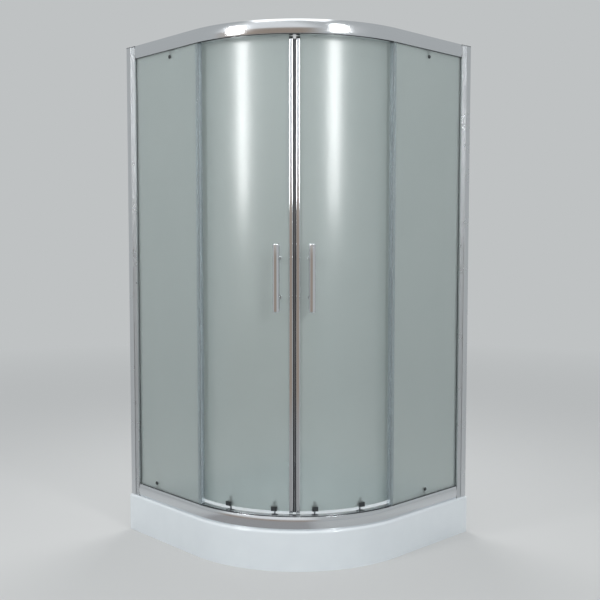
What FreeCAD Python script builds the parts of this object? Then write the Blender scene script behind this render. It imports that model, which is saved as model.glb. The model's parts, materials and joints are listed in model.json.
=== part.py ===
import FreeCAD, Part
import math
import os
import Sketcher

# Quadrant shower enclosure: a low curved tray, two flat fixed panes at the walls and two curved
# sliding doors that meet in the middle of the bow. Millimetres, +Z up, floor at Z = 0.
# The room corner is at (-X, +Y). The left wall is the plane x = -side/2, the right wall is the
# plane y = +side/2, and the bow faces +X -Y. The right half mirrors the left one: (x, y) -> (-y, -x).
# Two lengths place most pieces: "run" is measured from the wall along the straight front,
# "inset" is measured inwards from the tray's outer edge.

doc = FreeCAD.newDocument("QuadrantShower")
sheet = doc.addObject("Spreadsheet::Sheet", "Sizes")
sheet.Label = "Sizes"


class Dim:
    """A length or angle that knows its number and the sheet expression that gives it."""

    def __init__(self, value, text):
        self.value = float(value)
        self.text = text

    @staticmethod
    def of(other):
        if isinstance(other, Dim):
            return other
        return Dim(other, "(%s)" % repr(float(other)))

    def __add__(self, other):
        other = Dim.of(other)
        return Dim(self.value + other.value, "(%s + %s)" % (self.text, other.text))

    def __radd__(self, other):
        return Dim.of(other) + self

    def __sub__(self, other):
        other = Dim.of(other)
        return Dim(self.value - other.value, "(%s - %s)" % (self.text, other.text))

    def __rsub__(self, other):
        return Dim.of(other) - self

    def __mul__(self, other):
        other = Dim.of(other)
        return Dim(self.value * other.value, "(%s * %s)" % (self.text, other.text))

    def __rmul__(self, other):
        return Dim.of(other) * self

    def __truediv__(self, other):
        other = Dim.of(other)
        return Dim(self.value / other.value, "(%s / %s)" % (self.text, other.text))

    def __neg__(self):
        return Dim(-self.value, "(0 - %s)" % self.text)

    def sin(self):
        return Dim(math.sin(math.radians(self.value)), "sin(%s * 1 deg)" % self.text)

    def cos(self):
        return Dim(math.cos(math.radians(self.value)), "cos(%s * 1 deg)" % self.text)


row = 0


def size(alias, value, note):
    """Write one driving dimension into the sheet and return it."""
    global row
    row += 1
    sheet.set("A%d" % row, note)
    sheet.set("B%d" % row, str(value))
    sheet.setAlias("B%d" % row, alias)
    return Dim(value, "Sizes.%s" % alias)


# overall
side_length = size("side_length", 1000, "tray along each wall")
corner_radius = size("corner_radius", 550, "radius of the bow at the tray's edge")
overall_height = size("overall_height", 2000, "floor to the top of the rail")

# tray
tray_height = size("tray_height", 150, "floor to the ledge")
tray_wall = size("tray_wall", 5, "acrylic with its backing")
tray_rim = size("tray_rim", 82, "ledge under the glass")
tray_wall_rim = size("tray_wall_rim", 62, "ledge along the walls")
tray_edge_round = size("tray_edge_round", 9, "rounding of the ledge's front edge")
basin_depth = size("basin_depth", 48, "ledge down to the standing floor")
basin_corner = size("basin_corner", 75, "plan radius of the basin's corners")
basin_round = size("basin_round", 14, "rounding between basin side and floor")
wall_lip = size("wall_lip", 45, "how far the tray turns down along the walls")
board_thickness = size("board_thickness", 12, "stiffening board under the basin")
board_margin = size("board_margin", 22, "board edge inside the basin's side")
board_hole_margin = size("board_hole_margin", 12, "hole in the board round the hole in the basin floor")
foot_margin = size("foot_margin", 60, "feet inside the board's edge")
foot_pad_radius = size("foot_pad_radius", 22, "rubber foot")
foot_pad_height = size("foot_pad_height", 10, "rubber foot")
foot_stud_radius = size("foot_stud_radius", 5, "levelling stud")
foot_pad_step = size("foot_pad_step", 4, "height and width of the rubber foot's slope")
foot_nut_radius = size("foot_nut_radius", 9, "nut under the board")
foot_nut_height = size("foot_nut_height", 8, "nut under the board")

# waste
waste_from_wall = size("waste_from_wall", 290, "waste centre from both walls")
waste_hole_radius = size("waste_hole_radius", 43, "hole in the basin floor")
flange_radius = size("flange_radius", 56, "bright ring round the waste")
flange_thickness = size("flange_thickness", 3, "bright ring round the waste")
flange_bevel = size("flange_bevel", 2, "bright ring round the waste")
throat_radius = size("throat_radius", 38, "clear way through the waste")
throat_wall = size("throat_wall", 3, "tube of the waste ring")
throat_length = size("throat_length", 38, "tube of the waste ring below the floor")
trap_floor = size("trap_floor", 12, "underside of the trap above the floor")
trap_wall = size("trap_wall", 3, "trap cup")
collar_width = size("collar_width", 6, "collar at the top of the trap cup")
collar_height = size("collar_height", 5, "collar at the top of the trap cup")
outlet_rise = size("outlet_rise", 4, "spigot above the trap's underside")
outlet_wall = size("outlet_wall", 2, "waste spigot")
outlet_radius = size("outlet_radius", 20, "waste spigot for a 40 mm pipe")
outlet_length = size("outlet_length", 60, "spigot beyond its shoulder")
outlet_shoulder = size("outlet_shoulder", 4, "shoulder at the spigot's root, beyond the cup")
outlet_shoulder_width = size("outlet_shoulder_width", 3, "that shoulder round the spigot")
cover_radius = size("cover_radius", 52, "lift-out cover")
cover_dome = size("cover_dome", 7, "rise of the cover")
cover_edge = size("cover_edge", 2, "edge of the cover")
cover_hollow = size("cover_hollow", 4, "underside of the cover above its edge")
cover_skirt = size("cover_skirt", 8, "cover's skirt below the basin floor")
cover_skirt_wall = size("cover_skirt_wall", 2, "cover's skirt")
cover_play = size("cover_play", 2, "cover's skirt in the clear way")
thread_gap = size("thread_gap", 0.3, "play between screwed or dropped-in parts")

# rails
rail_height = size("rail_height", 50, "face height of both rails")
rail_inset = size("rail_inset", 12, "rail face behind the tray's edge")
rail_crown = size("rail_crown", 4, "how far the face bows outwards")
rail_depth = size("rail_depth", 40, "face to inner lip")
rail_skin = size("rail_skin", 2, "wall of the rail section")
rail_return = size("rail_return", 8, "turned-down back edge")
slot_depth = size("slot_depth", 14, "glass groove")
gasket_side = size("gasket_side", 2.5, "rubber beside the glass")
track_lip = size("track_lip", 3, "upstand that keeps a wheel on its track")
face_skin_share = size("face_skin_share", 0.6, "crown of the face's inner side, as a share")

# wall profiles and posts
profile_width = size("profile_width", 26, "wall channel across its face")
profile_inset = size("profile_inset", 8, "wall channel behind the tray's edge")
profile_depth = size("profile_depth", 30, "wall channel from the wall")
profile_skin = size("profile_skin", 1.8, "wall of channel and post")
sliding_gap = size("sliding_gap", 0.3, "play of the post in its channel")
post_back = size("post_back", 8, "back of the post from the wall")
post_front = size("post_front", 55, "front of the post from the wall")
post_rib = size("post_rib", 1, "depth of the ribs in the post's face")
post_groove = size("post_groove", 13, "depth of the post's glass groove")
fixing_margin = size("fixing_margin", 120, "outer fixings from both ends of a wall channel")
fixing_step = size("fixing_step", 30, "post screw above its wall screw")
fixing_setback = size("fixing_setback", 8, "post screw behind the channel's front edge")
post_screw_length = size("post_screw_length", 9, "screw between channel and post")
wall_hole_radius = size("wall_hole_radius", 2.5, "hole for a wall screw")
post_screw_radius = size("post_screw_radius", 2, "screw between channel and post")
screw_head_radius = size("screw_head_radius", 4, "pan head")
screw_head_height = size("screw_head_height", 2.4, "pan head")
screw_tip = size("screw_tip", 1, "bevel at a screw's tip")
screw_play = size("screw_play", 0.05, "screw in its hole")
cap_height = size("cap_height", 3, "cap on top of the wall channel")

# glass
glass_thickness = size("glass_thickness", 5, "toughened glass")
fixed_inset = size("fixed_inset", 20, "outer face of a fixed pane behind the tray's edge")
fixed_overlap = size("fixed_overlap", 10, "fixed pane past the start of the bow")
gasket_wall = size("gasket_wall", 2, "rubber between glass and groove end")
door_clearance = size("door_clearance", 8, "door glass behind the rails")
door_gap = size("door_gap", 8, "door glass above the bottom rail")
door_lap = size("door_lap", 35, "door glass up behind the top rail")
door_overlap = size("door_overlap", 28, "door behind the fixed pane when shut")
seal_skin = size("seal_skin", 1.2, "lip of a clear seal")
seal_grip = size("seal_grip", 10, "clear seal over the glass edge")
seal_gap = size("seal_gap", 0.3, "glass in its clear seal")
fin_reach = size("fin_reach", 14, "free fin of a clear seal")
seal_end_gap = size("seal_end_gap", 1, "clear seal to either rail")

# closing edges
closing_width = size("closing_width", 15, "bright closing profile along the door")
closing_depth = size("closing_depth", 20, "bright closing profile through the door")
closing_round = size("closing_round", 4, "rounding of the closing profile")
closing_slot = size("closing_slot", 9, "glass in the closing profile")
closing_ease = size("closing_ease", 0.25, "extra width of that slot for the glass's curve")
closing_foot_gap = size("closing_foot_gap", 5, "closing profile to the bottom rail")
closing_head_gap = size("closing_head_gap", 10, "closing profile to the top rail")
closing_cap_gap = size("closing_cap_gap", 2, "caps of the closing profile to the rails")
closing_cap_inset = size("closing_cap_inset", 0.5, "caps inside the profile's outline")
magnet_thickness = size("magnet_thickness", 5, "magnet strip proud of its profile")
magnet_width = size("magnet_width", 12, "magnet strip")
magnet_tongue = size("magnet_tongue", 3, "tongue of the strip in its profile")
tongue_width = size("tongue_width", 6, "groove for the tongue")
tongue_play = size("tongue_play", 0.1, "tongue in its groove")
magnet_gap = size("magnet_gap", 0.3, "strip face to the middle plane")

# handles
handle_angle = size("handle_angle", 38, "handle along the bow, in degrees")
handle_radius = size("handle_radius", 13, "round bar")
handle_length = size("handle_length", 250, "round bar")
handle_height = size("handle_height", 1080, "middle of the bar above the floor")
handle_spacing = size("handle_spacing", 145, "between the two posts")
handle_reach = size("handle_reach", 49, "glass to the bar's axis")
handle_post_radius = size("handle_post_radius", 7, "post")
handle_dome = size("handle_dome", 4, "rise of the bar's ends")
rosette_radius = size("rosette_radius", 11, "foot of a post")
rosette_height = size("rosette_height", 4, "foot of a post")
rosette_bevel = size("rosette_bevel", 1, "foot of a post")
handle_screw_radius = size("handle_screw_radius", 3, "screw from inside")
handle_screw_depth = size("handle_screw_depth", 20, "screw in the post")
handle_bore_depth = size("handle_bore_depth", 22, "bore in the post")
handle_screw_head = size("handle_screw_head", 8, "radius of the screw's head")
handle_screw_bevel = size("handle_screw_bevel", 1, "bevel of the screw's head")

# rollers
rear_angle = size("rear_angle", 14, "rear roller along the bow, in degrees")
front_angle = size("front_angle", 36, "front roller along the bow, in degrees")
wheel_radius = size("wheel_radius", 11, "upper wheel")
guide_radius = size("guide_radius", 9, "lower wheel")
wheel_width = size("wheel_width", 6, "both wheels")
wheel_play = size("wheel_play", 0.3, "wheel to its track")
hub_width = size("hub_width", 2.5, "raised hub of a wheel")
rim_width = size("rim_width", 2, "rim of a wheel")
rim_bevel = size("rim_bevel", 0.8, "edge of a wheel's rim")
dish_slope = size("dish_slope", 0.5, "between a wheel's rim and its dish")
dish_depth = size("dish_depth", 0.8, "dish between hub and rim")
axle_radius = size("axle_radius", 3, "both axles")
axle_play = size("axle_play", 0.06, "axle in its wheel")
axle_head_radius = size("axle_head_radius", 5, "both ends of an axle")
axle_head = size("axle_head", 2, "both ends of an axle")
hanger_thickness = size("hanger_thickness", 3, "steel plate inside the glass")
hanger_width = size("hanger_width", 26, "steel plate inside the glass")
hanger_corner = size("hanger_corner", 7, "cut-off corners of the plate")
sleeve_radius = size("sleeve_radius", 5.5, "spacer between glass and upper wheel")
glass_hole_play = size("glass_hole_play", 1, "hole in the glass round a bolt")
housing_width = size("housing_width", 22, "lower roller housing")
housing_height = size("housing_height", 16, "lower roller housing")
housing_depth = size("housing_depth", 14, "lower roller housing inside the glass")
housing_cover = size("housing_cover", 6, "lower roller housing outside the glass")
peg_radius = size("peg_radius", 3, "peg that joins the housing through the glass")
peg_depth = size("peg_depth", 4, "peg in the inner block")
peg_gap = size("peg_gap", 0.5, "room past the peg's end")
stem_radius = size("stem_radius", 3.5, "sprung stem of a lower roller")
stem_margin = size("stem_margin", 3, "housing behind the stem")
stem_tip = size("stem_tip", 2, "stem below its wheel's pin")
stem_play = size("stem_play", 0.08, "stem in its housing")
button_radius = size("button_radius", 7, "release button")
button_height = size("button_height", 5, "release button")
button_bevel = size("button_bevel", 1, "release button")
button_gap = size("button_gap", 0.3, "button to its spring's room")
spring_length = size("spring_length", 11, "release spring at rest")
spring_wire = size("spring_wire", 0.5, "spring wire radius")
spring_turns = size("spring_turns", 3, "turns of a release spring")
spring_play = size("spring_play", 0.5, "stem to its spring")
spring_gap = size("spring_gap", 0.1, "spring to its housing")

# clips and stops
clip_drop = size("clip_drop", 25, "clip screw below or above its rail")
clip_width = size("clip_width", 12, "steel angle")
clip_thickness = size("clip_thickness", 2, "steel angle")
clip_foot = size("clip_foot", 19, "steel angle under the rail")
clip_screw_radius = size("clip_screw_radius", 2.5, "screw through the fixed pane")
clip_cap_radius = size("clip_cap_radius", 7, "dark cap and nut")
clip_cap = size("clip_cap", 4, "dark cap and nut")
clip_bevel = size("clip_bevel", 2, "dark cap")
clip_nut_radius = size("clip_nut_radius", 6, "dark nut")
clip_left_top = size("clip_left_top", 165, "from the start of the bow")
clip_left_bottom = size("clip_left_bottom", 280, "from the start of the bow")
clip_right = size("clip_right", 195, "from the start of the bow, both")
stop_run = size("stop_run", 135, "door stop from the start of the bow")
stop_length = size("stop_length", 14, "rubber door stop")
stop_height = size("stop_height", 18, "rubber door stop")
stop_width = size("stop_width", 18, "rubber door stop")

# rail ends
end_plate = size("end_plate", 3, "plastic plate between post and rail")
end_plug = size("end_plug", 22, "plug inside the rail")
end_play = size("end_play", 0.4, "plug in the rail")
rail_screw_radius = size("rail_screw_radius", 2, "screw from post to plug")
rail_screw_length = size("rail_screw_length", 30, "screw from post to plug")
rail_screw_margin = size("rail_screw_margin", 9, "those screws from the web and from the rail's top")

doc.recompute()

# derived places
half = side_length / 2
bow_x = half - corner_radius
bow_y = corner_radius - half
ledge = tray_height
rail_top_low = ledge + rail_height
rail_low_high = overall_height - rail_height
rail_start = post_front + end_plate
slot_out = rail_inset + rail_skin
slot_in = fixed_inset + glass_thickness + gasket_side
rail_back = rail_inset + rail_depth
wheel_inset = (slot_in + rail_back) / 2
post_outer = profile_inset + profile_skin + sliding_gap
post_inner = profile_inset + profile_width - profile_skin - sliding_gap
groove_low = fixed_inset - gasket_side
groove_run = post_front - post_groove
web_run = groove_run - profile_skin
door_inset = rail_back + door_clearance
door_bottom = rail_top_low + door_gap
door_top = rail_low_high + door_lap
axle_height = rail_low_high + rail_skin + wheel_play + wheel_radius
glass_middle = corner_radius - door_inset - glass_thickness / 2
basin_floor = ledge - basin_depth
board_low = basin_floor - tray_wall - board_thickness
full_bow = 90
SIDES = ("left", "right")
XY, YZ, XZ = "XY_Plane", "YZ_Plane", "XZ_Plane"


def origin_plane(body, role):
    for feature in body.Origin.OriginFeatures:
        if feature.Role == role:
            return feature
    raise RuntimeError("no plane " + role)


def new_body(label):
    body = doc.addObject("PartDesign::Body", label)
    body.Label = label
    return body


def add_sketch(body, role, start=0):
    """A sketch on one of the body's own planes, moved along that plane's normal."""
    sketch = body.newObject("Sketcher::SketchObject", body.Label + "_sketch")
    sketch.AttachmentSupport = (origin_plane(body, role), [""])
    sketch.MapMode = "FlatFace"
    start = Dim.of(start)
    sketch.AttachmentOffset = FreeCAD.Placement(FreeCAD.Vector(0, 0, start.value), FreeCAD.Rotation())
    sketch.setExpression(".AttachmentOffset.Base.z", start.text)
    return sketch


def bind(sketch, index, dim):
    sketch.setExpression("Constraints[%d]" % index, dim.text)


def draw_outline(sketch, outline):
    """Closed outline of (x, y) or (x, y, radius) points. A radius makes the stretch to the next
    point an arc: above zero it turns left, below zero it turns right."""
    corners = [tuple(Dim.of(part) for part in point) for point in outline]
    count = len(corners)
    first = sketch.GeometryCount
    shapes = []
    ends = []
    for index, corner in enumerate(corners):
        following = corners[(index + 1) % count]
        start = FreeCAD.Vector(corner[0].value, corner[1].value, 0)
        end = FreeCAD.Vector(following[0].value, following[1].value, 0)
        if len(corner) == 2:
            shapes.append(Part.LineSegment(start, end))
            ends.append((1, 2))
            continue
        radius = corner[2].value
        chord = end - start
        normal = FreeCAD.Vector(-chord.y, chord.x, 0).normalize()
        rise = math.sqrt(max(radius * radius - chord.Length * chord.Length / 4, 0))
        turn = math.copysign(1, radius)
        centre = (start + end) * 0.5 + normal * (rise * turn)
        begin, finish = (start, end) if radius > 0 else (end, start)
        angle_a = math.atan2(begin.y - centre.y, begin.x - centre.x)
        angle_b = math.atan2(finish.y - centre.y, finish.x - centre.x)
        if angle_b < angle_a:
            angle_b += 2 * math.pi
        circle = Part.Circle(centre, FreeCAD.Vector(0, 0, 1), abs(radius))
        shapes.append(Part.ArcOfCircle(circle, angle_a, angle_b))
        ends.append((1, 2) if radius > 0 else (2, 1))
    sketch.addGeometry(shapes, False)
    constraints = []
    bound = []
    for index, corner in enumerate(corners):
        geometry = first + index
        before = first + (index - 1) % count
        begin = ends[index][0]
        constraints.append(
            Sketcher.Constraint("Coincident", before, ends[(index - 1) % count][1], geometry, begin))
        for kind, dim in (("DistanceX", corner[0]), ("DistanceY", corner[1])):
            bound.append((len(constraints), dim))
            constraints.append(Sketcher.Constraint(kind, -1, 1, geometry, begin, dim.value))
        if len(corner) == 3:
            radius = corner[2] if corner[2].value > 0 else -corner[2]
            bound.append((len(constraints), radius))
            constraints.append(Sketcher.Constraint("Radius", geometry, radius.value))
    offset = sketch.ConstraintCount
    sketch.addConstraint(constraints)
    for index, dim in bound:
        bind(sketch, offset + index, dim)


def draw_circle(sketch, across, up, radius):
    across, up, radius = Dim.of(across), Dim.of(up), Dim.of(radius)
    centre = FreeCAD.Vector(across.value, up.value, 0)
    index = sketch.addGeometry(Part.Circle(centre, FreeCAD.Vector(0, 0, 1), radius.value), False)
    offset = sketch.ConstraintCount
    sketch.addConstraint([
        Sketcher.Constraint("DistanceX", -1, 1, index, 3, across.value),
        Sketcher.Constraint("DistanceY", -1, 1, index, 3, up.value),
        Sketcher.Constraint("Radius", index, radius.value)])
    bind(sketch, offset, across)
    bind(sketch, offset + 1, up)
    bind(sketch, offset + 2, radius)


def add_pad(body, sketch, length):
    pad = body.newObject("PartDesign::Pad", body.Label + "_pad")
    pad.Profile = sketch
    length = Dim.of(length)
    pad.Length = length.value
    pad.setExpression("Length", length.text)
    sketch.Visibility = False
    return pad


def add_pocket(body, sketch, depth, upwards):
    """Cut from the sketch, upwards or downwards, by a depth."""
    pocket = body.newObject("PartDesign::Pocket", body.Label + "_pocket")
    pocket.Profile = sketch
    pocket.Reversed = upwards
    depth = Dim.of(depth)
    pocket.Length = depth.value
    pocket.setExpression("Length", depth.text)
    sketch.Visibility = False
    return pocket


def prism(label, role, outlines, start, length, holes=()):
    """An extrusion of one or more outlines from a plane of the body."""
    body = new_body(label)
    sketch = add_sketch(body, role, start)
    for outline in outlines:
        draw_outline(sketch, outline)
    for hole in holes:
        draw_circle(sketch, *hole)
    add_pad(body, sketch, length)
    return body


def turned(label, outline):
    """A round piece: the outline of (radius, height) points turned once round Z."""
    body = new_body(label)
    sketch = add_sketch(body, XZ)
    draw_outline(sketch, outline)
    revolution = body.newObject("PartDesign::Revolution", label + "_turn")
    revolution.Profile = sketch
    revolution.ReferenceAxis = (sketch, ["V_Axis"])
    revolution.Angle = 360
    sketch.Visibility = False
    return body


def cylinder(label, radius, length):
    piece = doc.addObject("Part::Cylinder", label)
    piece.Label = label
    radius, length = Dim.of(radius), Dim.of(length)
    piece.Radius = radius.value
    piece.Height = length.value
    piece.setExpression("Radius", radius.text)
    piece.setExpression("Height", length.text)
    return piece


def box(label, long, wide, high):
    piece = doc.addObject("Part::Box", label)
    piece.Label = label
    for name, dim in (("Length", long), ("Width", wide), ("Height", high)):
        dim = Dim.of(dim)
        setattr(piece, name, dim.value)
        piece.setExpression(name, dim.text)
    return piece


def cut(label, base, tools):
    """The base less every tool."""
    tool = tools[0]
    if len(tools) > 1:
        tool = doc.addObject("Part::MultiFuse", label + "_tools")
        tool.Shapes = tools
    piece = doc.addObject("Part::Cut", label)
    piece.Base = base
    piece.Tool = tool
    piece.Label = label
    return piece


def fused(label, pieces):
    piece = doc.addObject("Part::MultiFuse", label)
    piece.Shapes = pieces
    piece.Refine = True
    piece.Label = label
    return piece


def group(label, pieces):
    """Alike pieces that share one node and stay separate solids."""
    piece = doc.addObject("Part::Compound", label)
    piece.Links = pieces
    piece.Label = label
    return piece


nodes = []


def node(piece):
    nodes.append(piece)
    return piece


# places

def mirrored(x, y, side):
    return (x, y) if side == "left" else (-y, -x)


def plan(side, points):
    """Plan outline from (run, inset) points for one side, in drawing order for that side."""
    outline = []
    for run, inset in points:
        outline.append(mirrored(Dim.of(run) - half, Dim.of(inset) - half, side))
    return outline


def wall_place(side, run, inset, height, direction):
    """A place on a straight side. Local +Z points along the run, or inwards, or up."""
    x, y = mirrored(Dim.of(run) - half, Dim.of(inset) - half, side)
    toward = {
        ("left", "run"): FreeCAD.Vector(1, 0, 0),
        ("right", "run"): FreeCAD.Vector(0, -1, 0),
        ("left", "in"): FreeCAD.Vector(0, 1, 0),
        ("right", "in"): FreeCAD.Vector(-1, 0, 0),
        ("left", "up"): FreeCAD.Vector(0, 0, 1),
        ("right", "up"): FreeCAD.Vector(0, 0, 1)}[(side, direction)]
    turn = FreeCAD.Rotation(FreeCAD.Vector(0, 0, 1), toward)
    return FreeCAD.Placement(FreeCAD.Vector(x.value, y.value, Dim.of(height).value), turn)


def run_prism(label, side, outlines, start, length, holes=()):
    """A section in (inset, height) points, extruded along a straight side from a run."""
    role = YZ if side == "left" else XZ
    flip = 1 if side == "left" else -1
    sections = []
    for outline in outlines:
        section = []
        for point in outline:
            across = (Dim.of(point[0]) - half) * flip
            if len(point) == 3:
                section.append((across, point[1], point[2] * flip))
            else:
                section.append((across, point[1]))
        sections.append(section)
    round_holes = [((Dim.of(inset) - half) * flip, up, radius) for inset, up, radius in holes]
    return prism(label, role, sections, Dim.of(start) - half, length, round_holes)


def azimuth(side, angle):
    """Direction from the bow's centre at an angle from the start of the bow."""
    return -90 + angle if side == "left" else -angle


def bow_place(side, angle, reach, height, outwards):
    """A place on the bow. With outwards, local +Z points away from the bow's centre,
    otherwise local +X does and +Z stays up."""
    heading = azimuth(side, Dim.of(angle).value)
    around = FreeCAD.Rotation(FreeCAD.Vector(0, 0, 1), heading)
    reach = Dim.of(reach).value
    base = FreeCAD.Vector(bow_x.value, bow_y.value, Dim.of(height).value)
    base += around.multVec(FreeCAD.Vector(reach, 0, 0))
    turn = around
    if outwards:
        turn = around.multiply(FreeCAD.Rotation(FreeCAD.Vector(0, 1, 0), 90))
    return FreeCAD.Placement(base, turn)


def quadrant(inset, wall, corner=0):
    """The tray's plan outline, moved in by an inset on the front and by another at the walls."""
    inset, wall = Dim.of(inset), Dim.of(wall)
    left = wall - half
    right = half - inset
    back = half - wall
    front = inset - half
    bow = corner_radius - inset
    if not corner:
        return [(left, front), (bow_x, front, bow), (right, bow_y), (right, back), (left, back)]
    return [
        (left + corner, front), (bow_x, front, bow), (right, bow_y),
        (right, back - corner, corner), (right - corner, back),
        (left + corner, back, corner), (left, back - corner),
        (left, front + corner, corner)]


# tray

def level_edges(shape, height, wanted=None):
    """Names of the edges that lie at one height and, where asked, pass a test on their middle."""
    found = []
    for number, edge in enumerate(shape.Edges, 1):
        bounds = edge.BoundBox
        if abs(bounds.ZMax - height) > 0.01 or abs(bounds.ZMin - height) > 0.01:
            continue
        middle = edge.valueAt((edge.FirstParameter + edge.LastParameter) / 2)
        if wanted is None or wanted(middle):
            found.append("Edge%d" % number)
    return found


def round_edges(body, names, radius):
    base = body.Tip
    fillet = body.newObject("PartDesign::Fillet", body.Label + "_round")
    fillet.Base = (base, names)
    fillet.Radius = radius.value
    fillet.setExpression("Radius", radius.text)
    doc.recompute()


def faces_front(middle):
    """True on the straight fronts and on the bow of the tray's outline."""
    from_centre = math.hypot(middle.x - bow_x.value, middle.y - bow_y.value)
    on_bow = abs(from_centre - corner_radius.value) < 0.01
    return on_bow or abs(middle.y + half.value) < 0.01 or abs(middle.x - half.value) < 0.01


def tray():
    """One moulded shell: skirt, ledge and basin, open underneath and towards the walls."""
    body = new_body("tray_shell")
    outside = add_sketch(body, XY)
    draw_outline(outside, quadrant(0, 0))
    add_pad(body, outside, ledge)
    doc.recompute()
    round_edges(body, level_edges(body.Tip.Shape, ledge.value, faces_front), tray_edge_round)
    basin = add_sketch(body, XY, ledge)
    draw_outline(basin, quadrant(tray_rim, tray_wall_rim, basin_corner))
    add_pocket(body, basin, basin_depth, False)
    doc.recompute()
    round_edges(body, level_edges(body.Tip.Shape, basin_floor.value), basin_round)
    ring = add_sketch(body, XY)
    draw_outline(ring, quadrant(tray_wall, tray_wall))
    draw_outline(ring, quadrant(tray_rim - tray_wall, tray_wall_rim - tray_wall, basin_corner + tray_wall))
    add_pocket(body, ring, ledge - tray_wall, True)
    under = add_sketch(body, XY)
    draw_outline(under, quadrant(tray_rim - tray_wall, tray_wall_rim - tray_wall, basin_corner + tray_wall))
    add_pocket(body, under, basin_floor - tray_wall, True)
    open_back = add_sketch(body, XY)
    draw_outline(open_back, [
        (-half, tray_wall - half), (tray_wall - half, tray_wall - half),
        (tray_wall - half, half - tray_wall), (half - tray_wall, half - tray_wall),
        (half - tray_wall, half), (-half, half)])
    add_pocket(body, open_back, ledge - wall_lip, True)
    return body


def waste_place(height):
    middle = half - waste_from_wall
    return FreeCAD.Placement(
        FreeCAD.Vector(-middle.value, middle.value, Dim.of(height).value), FreeCAD.Rotation())


def drilled_tray():
    hole = cylinder("waste_hole", waste_hole_radius, tray_wall * 3)
    hole.Placement = waste_place(basin_floor - tray_wall * 2)
    return cut("shower_tray", tray(), [hole])


def base_board():
    hole = cylinder("board_hole", waste_hole_radius + board_hole_margin, board_thickness * 3)
    hole.Placement = waste_place(board_low - board_thickness)
    outline = quadrant(tray_rim + board_margin, tray_wall_rim + board_margin, basin_corner)
    board = prism("board", XY, [outline], board_low, board_thickness)
    return cut("tray_base_board", board, [hole])


def foot_spots():
    """Six plan points inside the board's edge: three corners, the bow and the middles at the walls."""
    back = half - tray_wall_rim - board_margin - foot_margin
    front = half - tray_rim - board_margin - foot_margin
    reach = corner_radius - tray_rim - board_margin - foot_margin
    middle = (back - front) / 2
    bow = bow_x + reach * Dim.of(full_bow / 2).sin()
    return ((-back, back), (-back, -front), (front, back), (bow, -bow), (-back, middle), (-middle, back))


def feet():
    pads = []
    studs = []
    slope = foot_pad_height - foot_pad_step
    for number, (x, y) in enumerate(foot_spots(), 1):
        place = FreeCAD.Placement(FreeCAD.Vector(x.value, y.value, 0), FreeCAD.Rotation())
        pad = turned("foot_pad_%d" % number, [
            (0, 0), (foot_pad_radius, 0), (foot_pad_radius, slope),
            (foot_pad_radius - foot_pad_step, foot_pad_height), (0, foot_pad_height)])
        pad.Placement = place
        pads.append(pad)
        stud = turned("foot_stud_%d" % number, [
            (0, foot_pad_height), (foot_stud_radius, foot_pad_height),
            (foot_stud_radius, board_low - foot_nut_height), (foot_nut_radius, board_low - foot_nut_height),
            (foot_nut_radius, board_low), (0, board_low)])
        stud.Placement = place
        studs.append(stud)
    node(group("foot_pads", pads))
    node(group("foot_studs", studs))


def waste():
    """The bright ring and its tube, the trap cup with its spigot, and the lift-out cover."""
    tube = throat_radius + throat_wall
    low = -tray_wall - throat_length
    ring = turned("waste_ring", [
        (throat_radius, low), (tube, low), (tube, 0), (flange_radius, 0),
        (flange_radius - flange_bevel, flange_thickness), (throat_radius, flange_thickness)])
    ring.Placement = waste_place(basin_floor)
    node(ring)

    inner = tube + thread_gap
    outer = inner + trap_wall
    high = basin_floor - tray_wall
    collar = outer + collar_width
    cup = turned("trap_cup", [
        (0, trap_floor), (outer, trap_floor), (outer, high - collar_height), (collar, high - collar_height),
        (collar, high), (inner, high), (inner, trap_floor + trap_wall), (0, trap_floor + trap_wall)])
    cup.Placement = waste_place(0)
    level = trap_floor + outlet_radius + outlet_rise
    toward_wall = FreeCAD.Rotation(FreeCAD.Vector(0, 0, 1), FreeCAD.Vector(-1, 0, 0))
    sideways = FreeCAD.Placement(waste_place(level).Base, toward_wall)
    spigot = cylinder("trap_spigot", outlet_radius, outer + outlet_shoulder + outlet_length)
    spigot.Placement = sideways
    shoulder = cylinder("trap_shoulder", outlet_radius + outlet_shoulder_width, outer + outlet_shoulder)
    shoulder.Placement = sideways
    bore = cylinder("trap_bore", outlet_radius - outlet_wall, outer + outlet_length * 2)
    bore.Placement = sideways
    room = cylinder("trap_room", inner, high - trap_floor - trap_wall)
    room.Placement = waste_place(trap_floor + trap_wall)
    whole = fused("trap_outside", [cup, spigot, shoulder])
    node(cut("waste_trap", whole, [bore, room]))

    seat = flange_thickness + thread_gap
    skirt = throat_radius - cover_play
    hollow = skirt - cover_skirt_wall
    edge = seat + cover_edge
    cover = turned("waste_cover", [
        (0, seat + cover_hollow), (hollow, seat + cover_hollow), (hollow, -cover_skirt),
        (skirt, -cover_skirt), (skirt, seat), (cover_radius, seat),
        (cover_radius, edge, arc_radius(cover_radius * 2, cover_dome)), (0, edge + cover_dome)])
    cover.Placement = waste_place(basin_floor)
    node(cover)


# wall channels, posts, rails

def hole_heights():
    """Three fixing heights on a wall channel, from near its foot to near its top."""
    foot = ledge + fixing_margin
    top = overall_height - fixing_margin
    return [foot, (foot + top) / 2, top]


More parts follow.
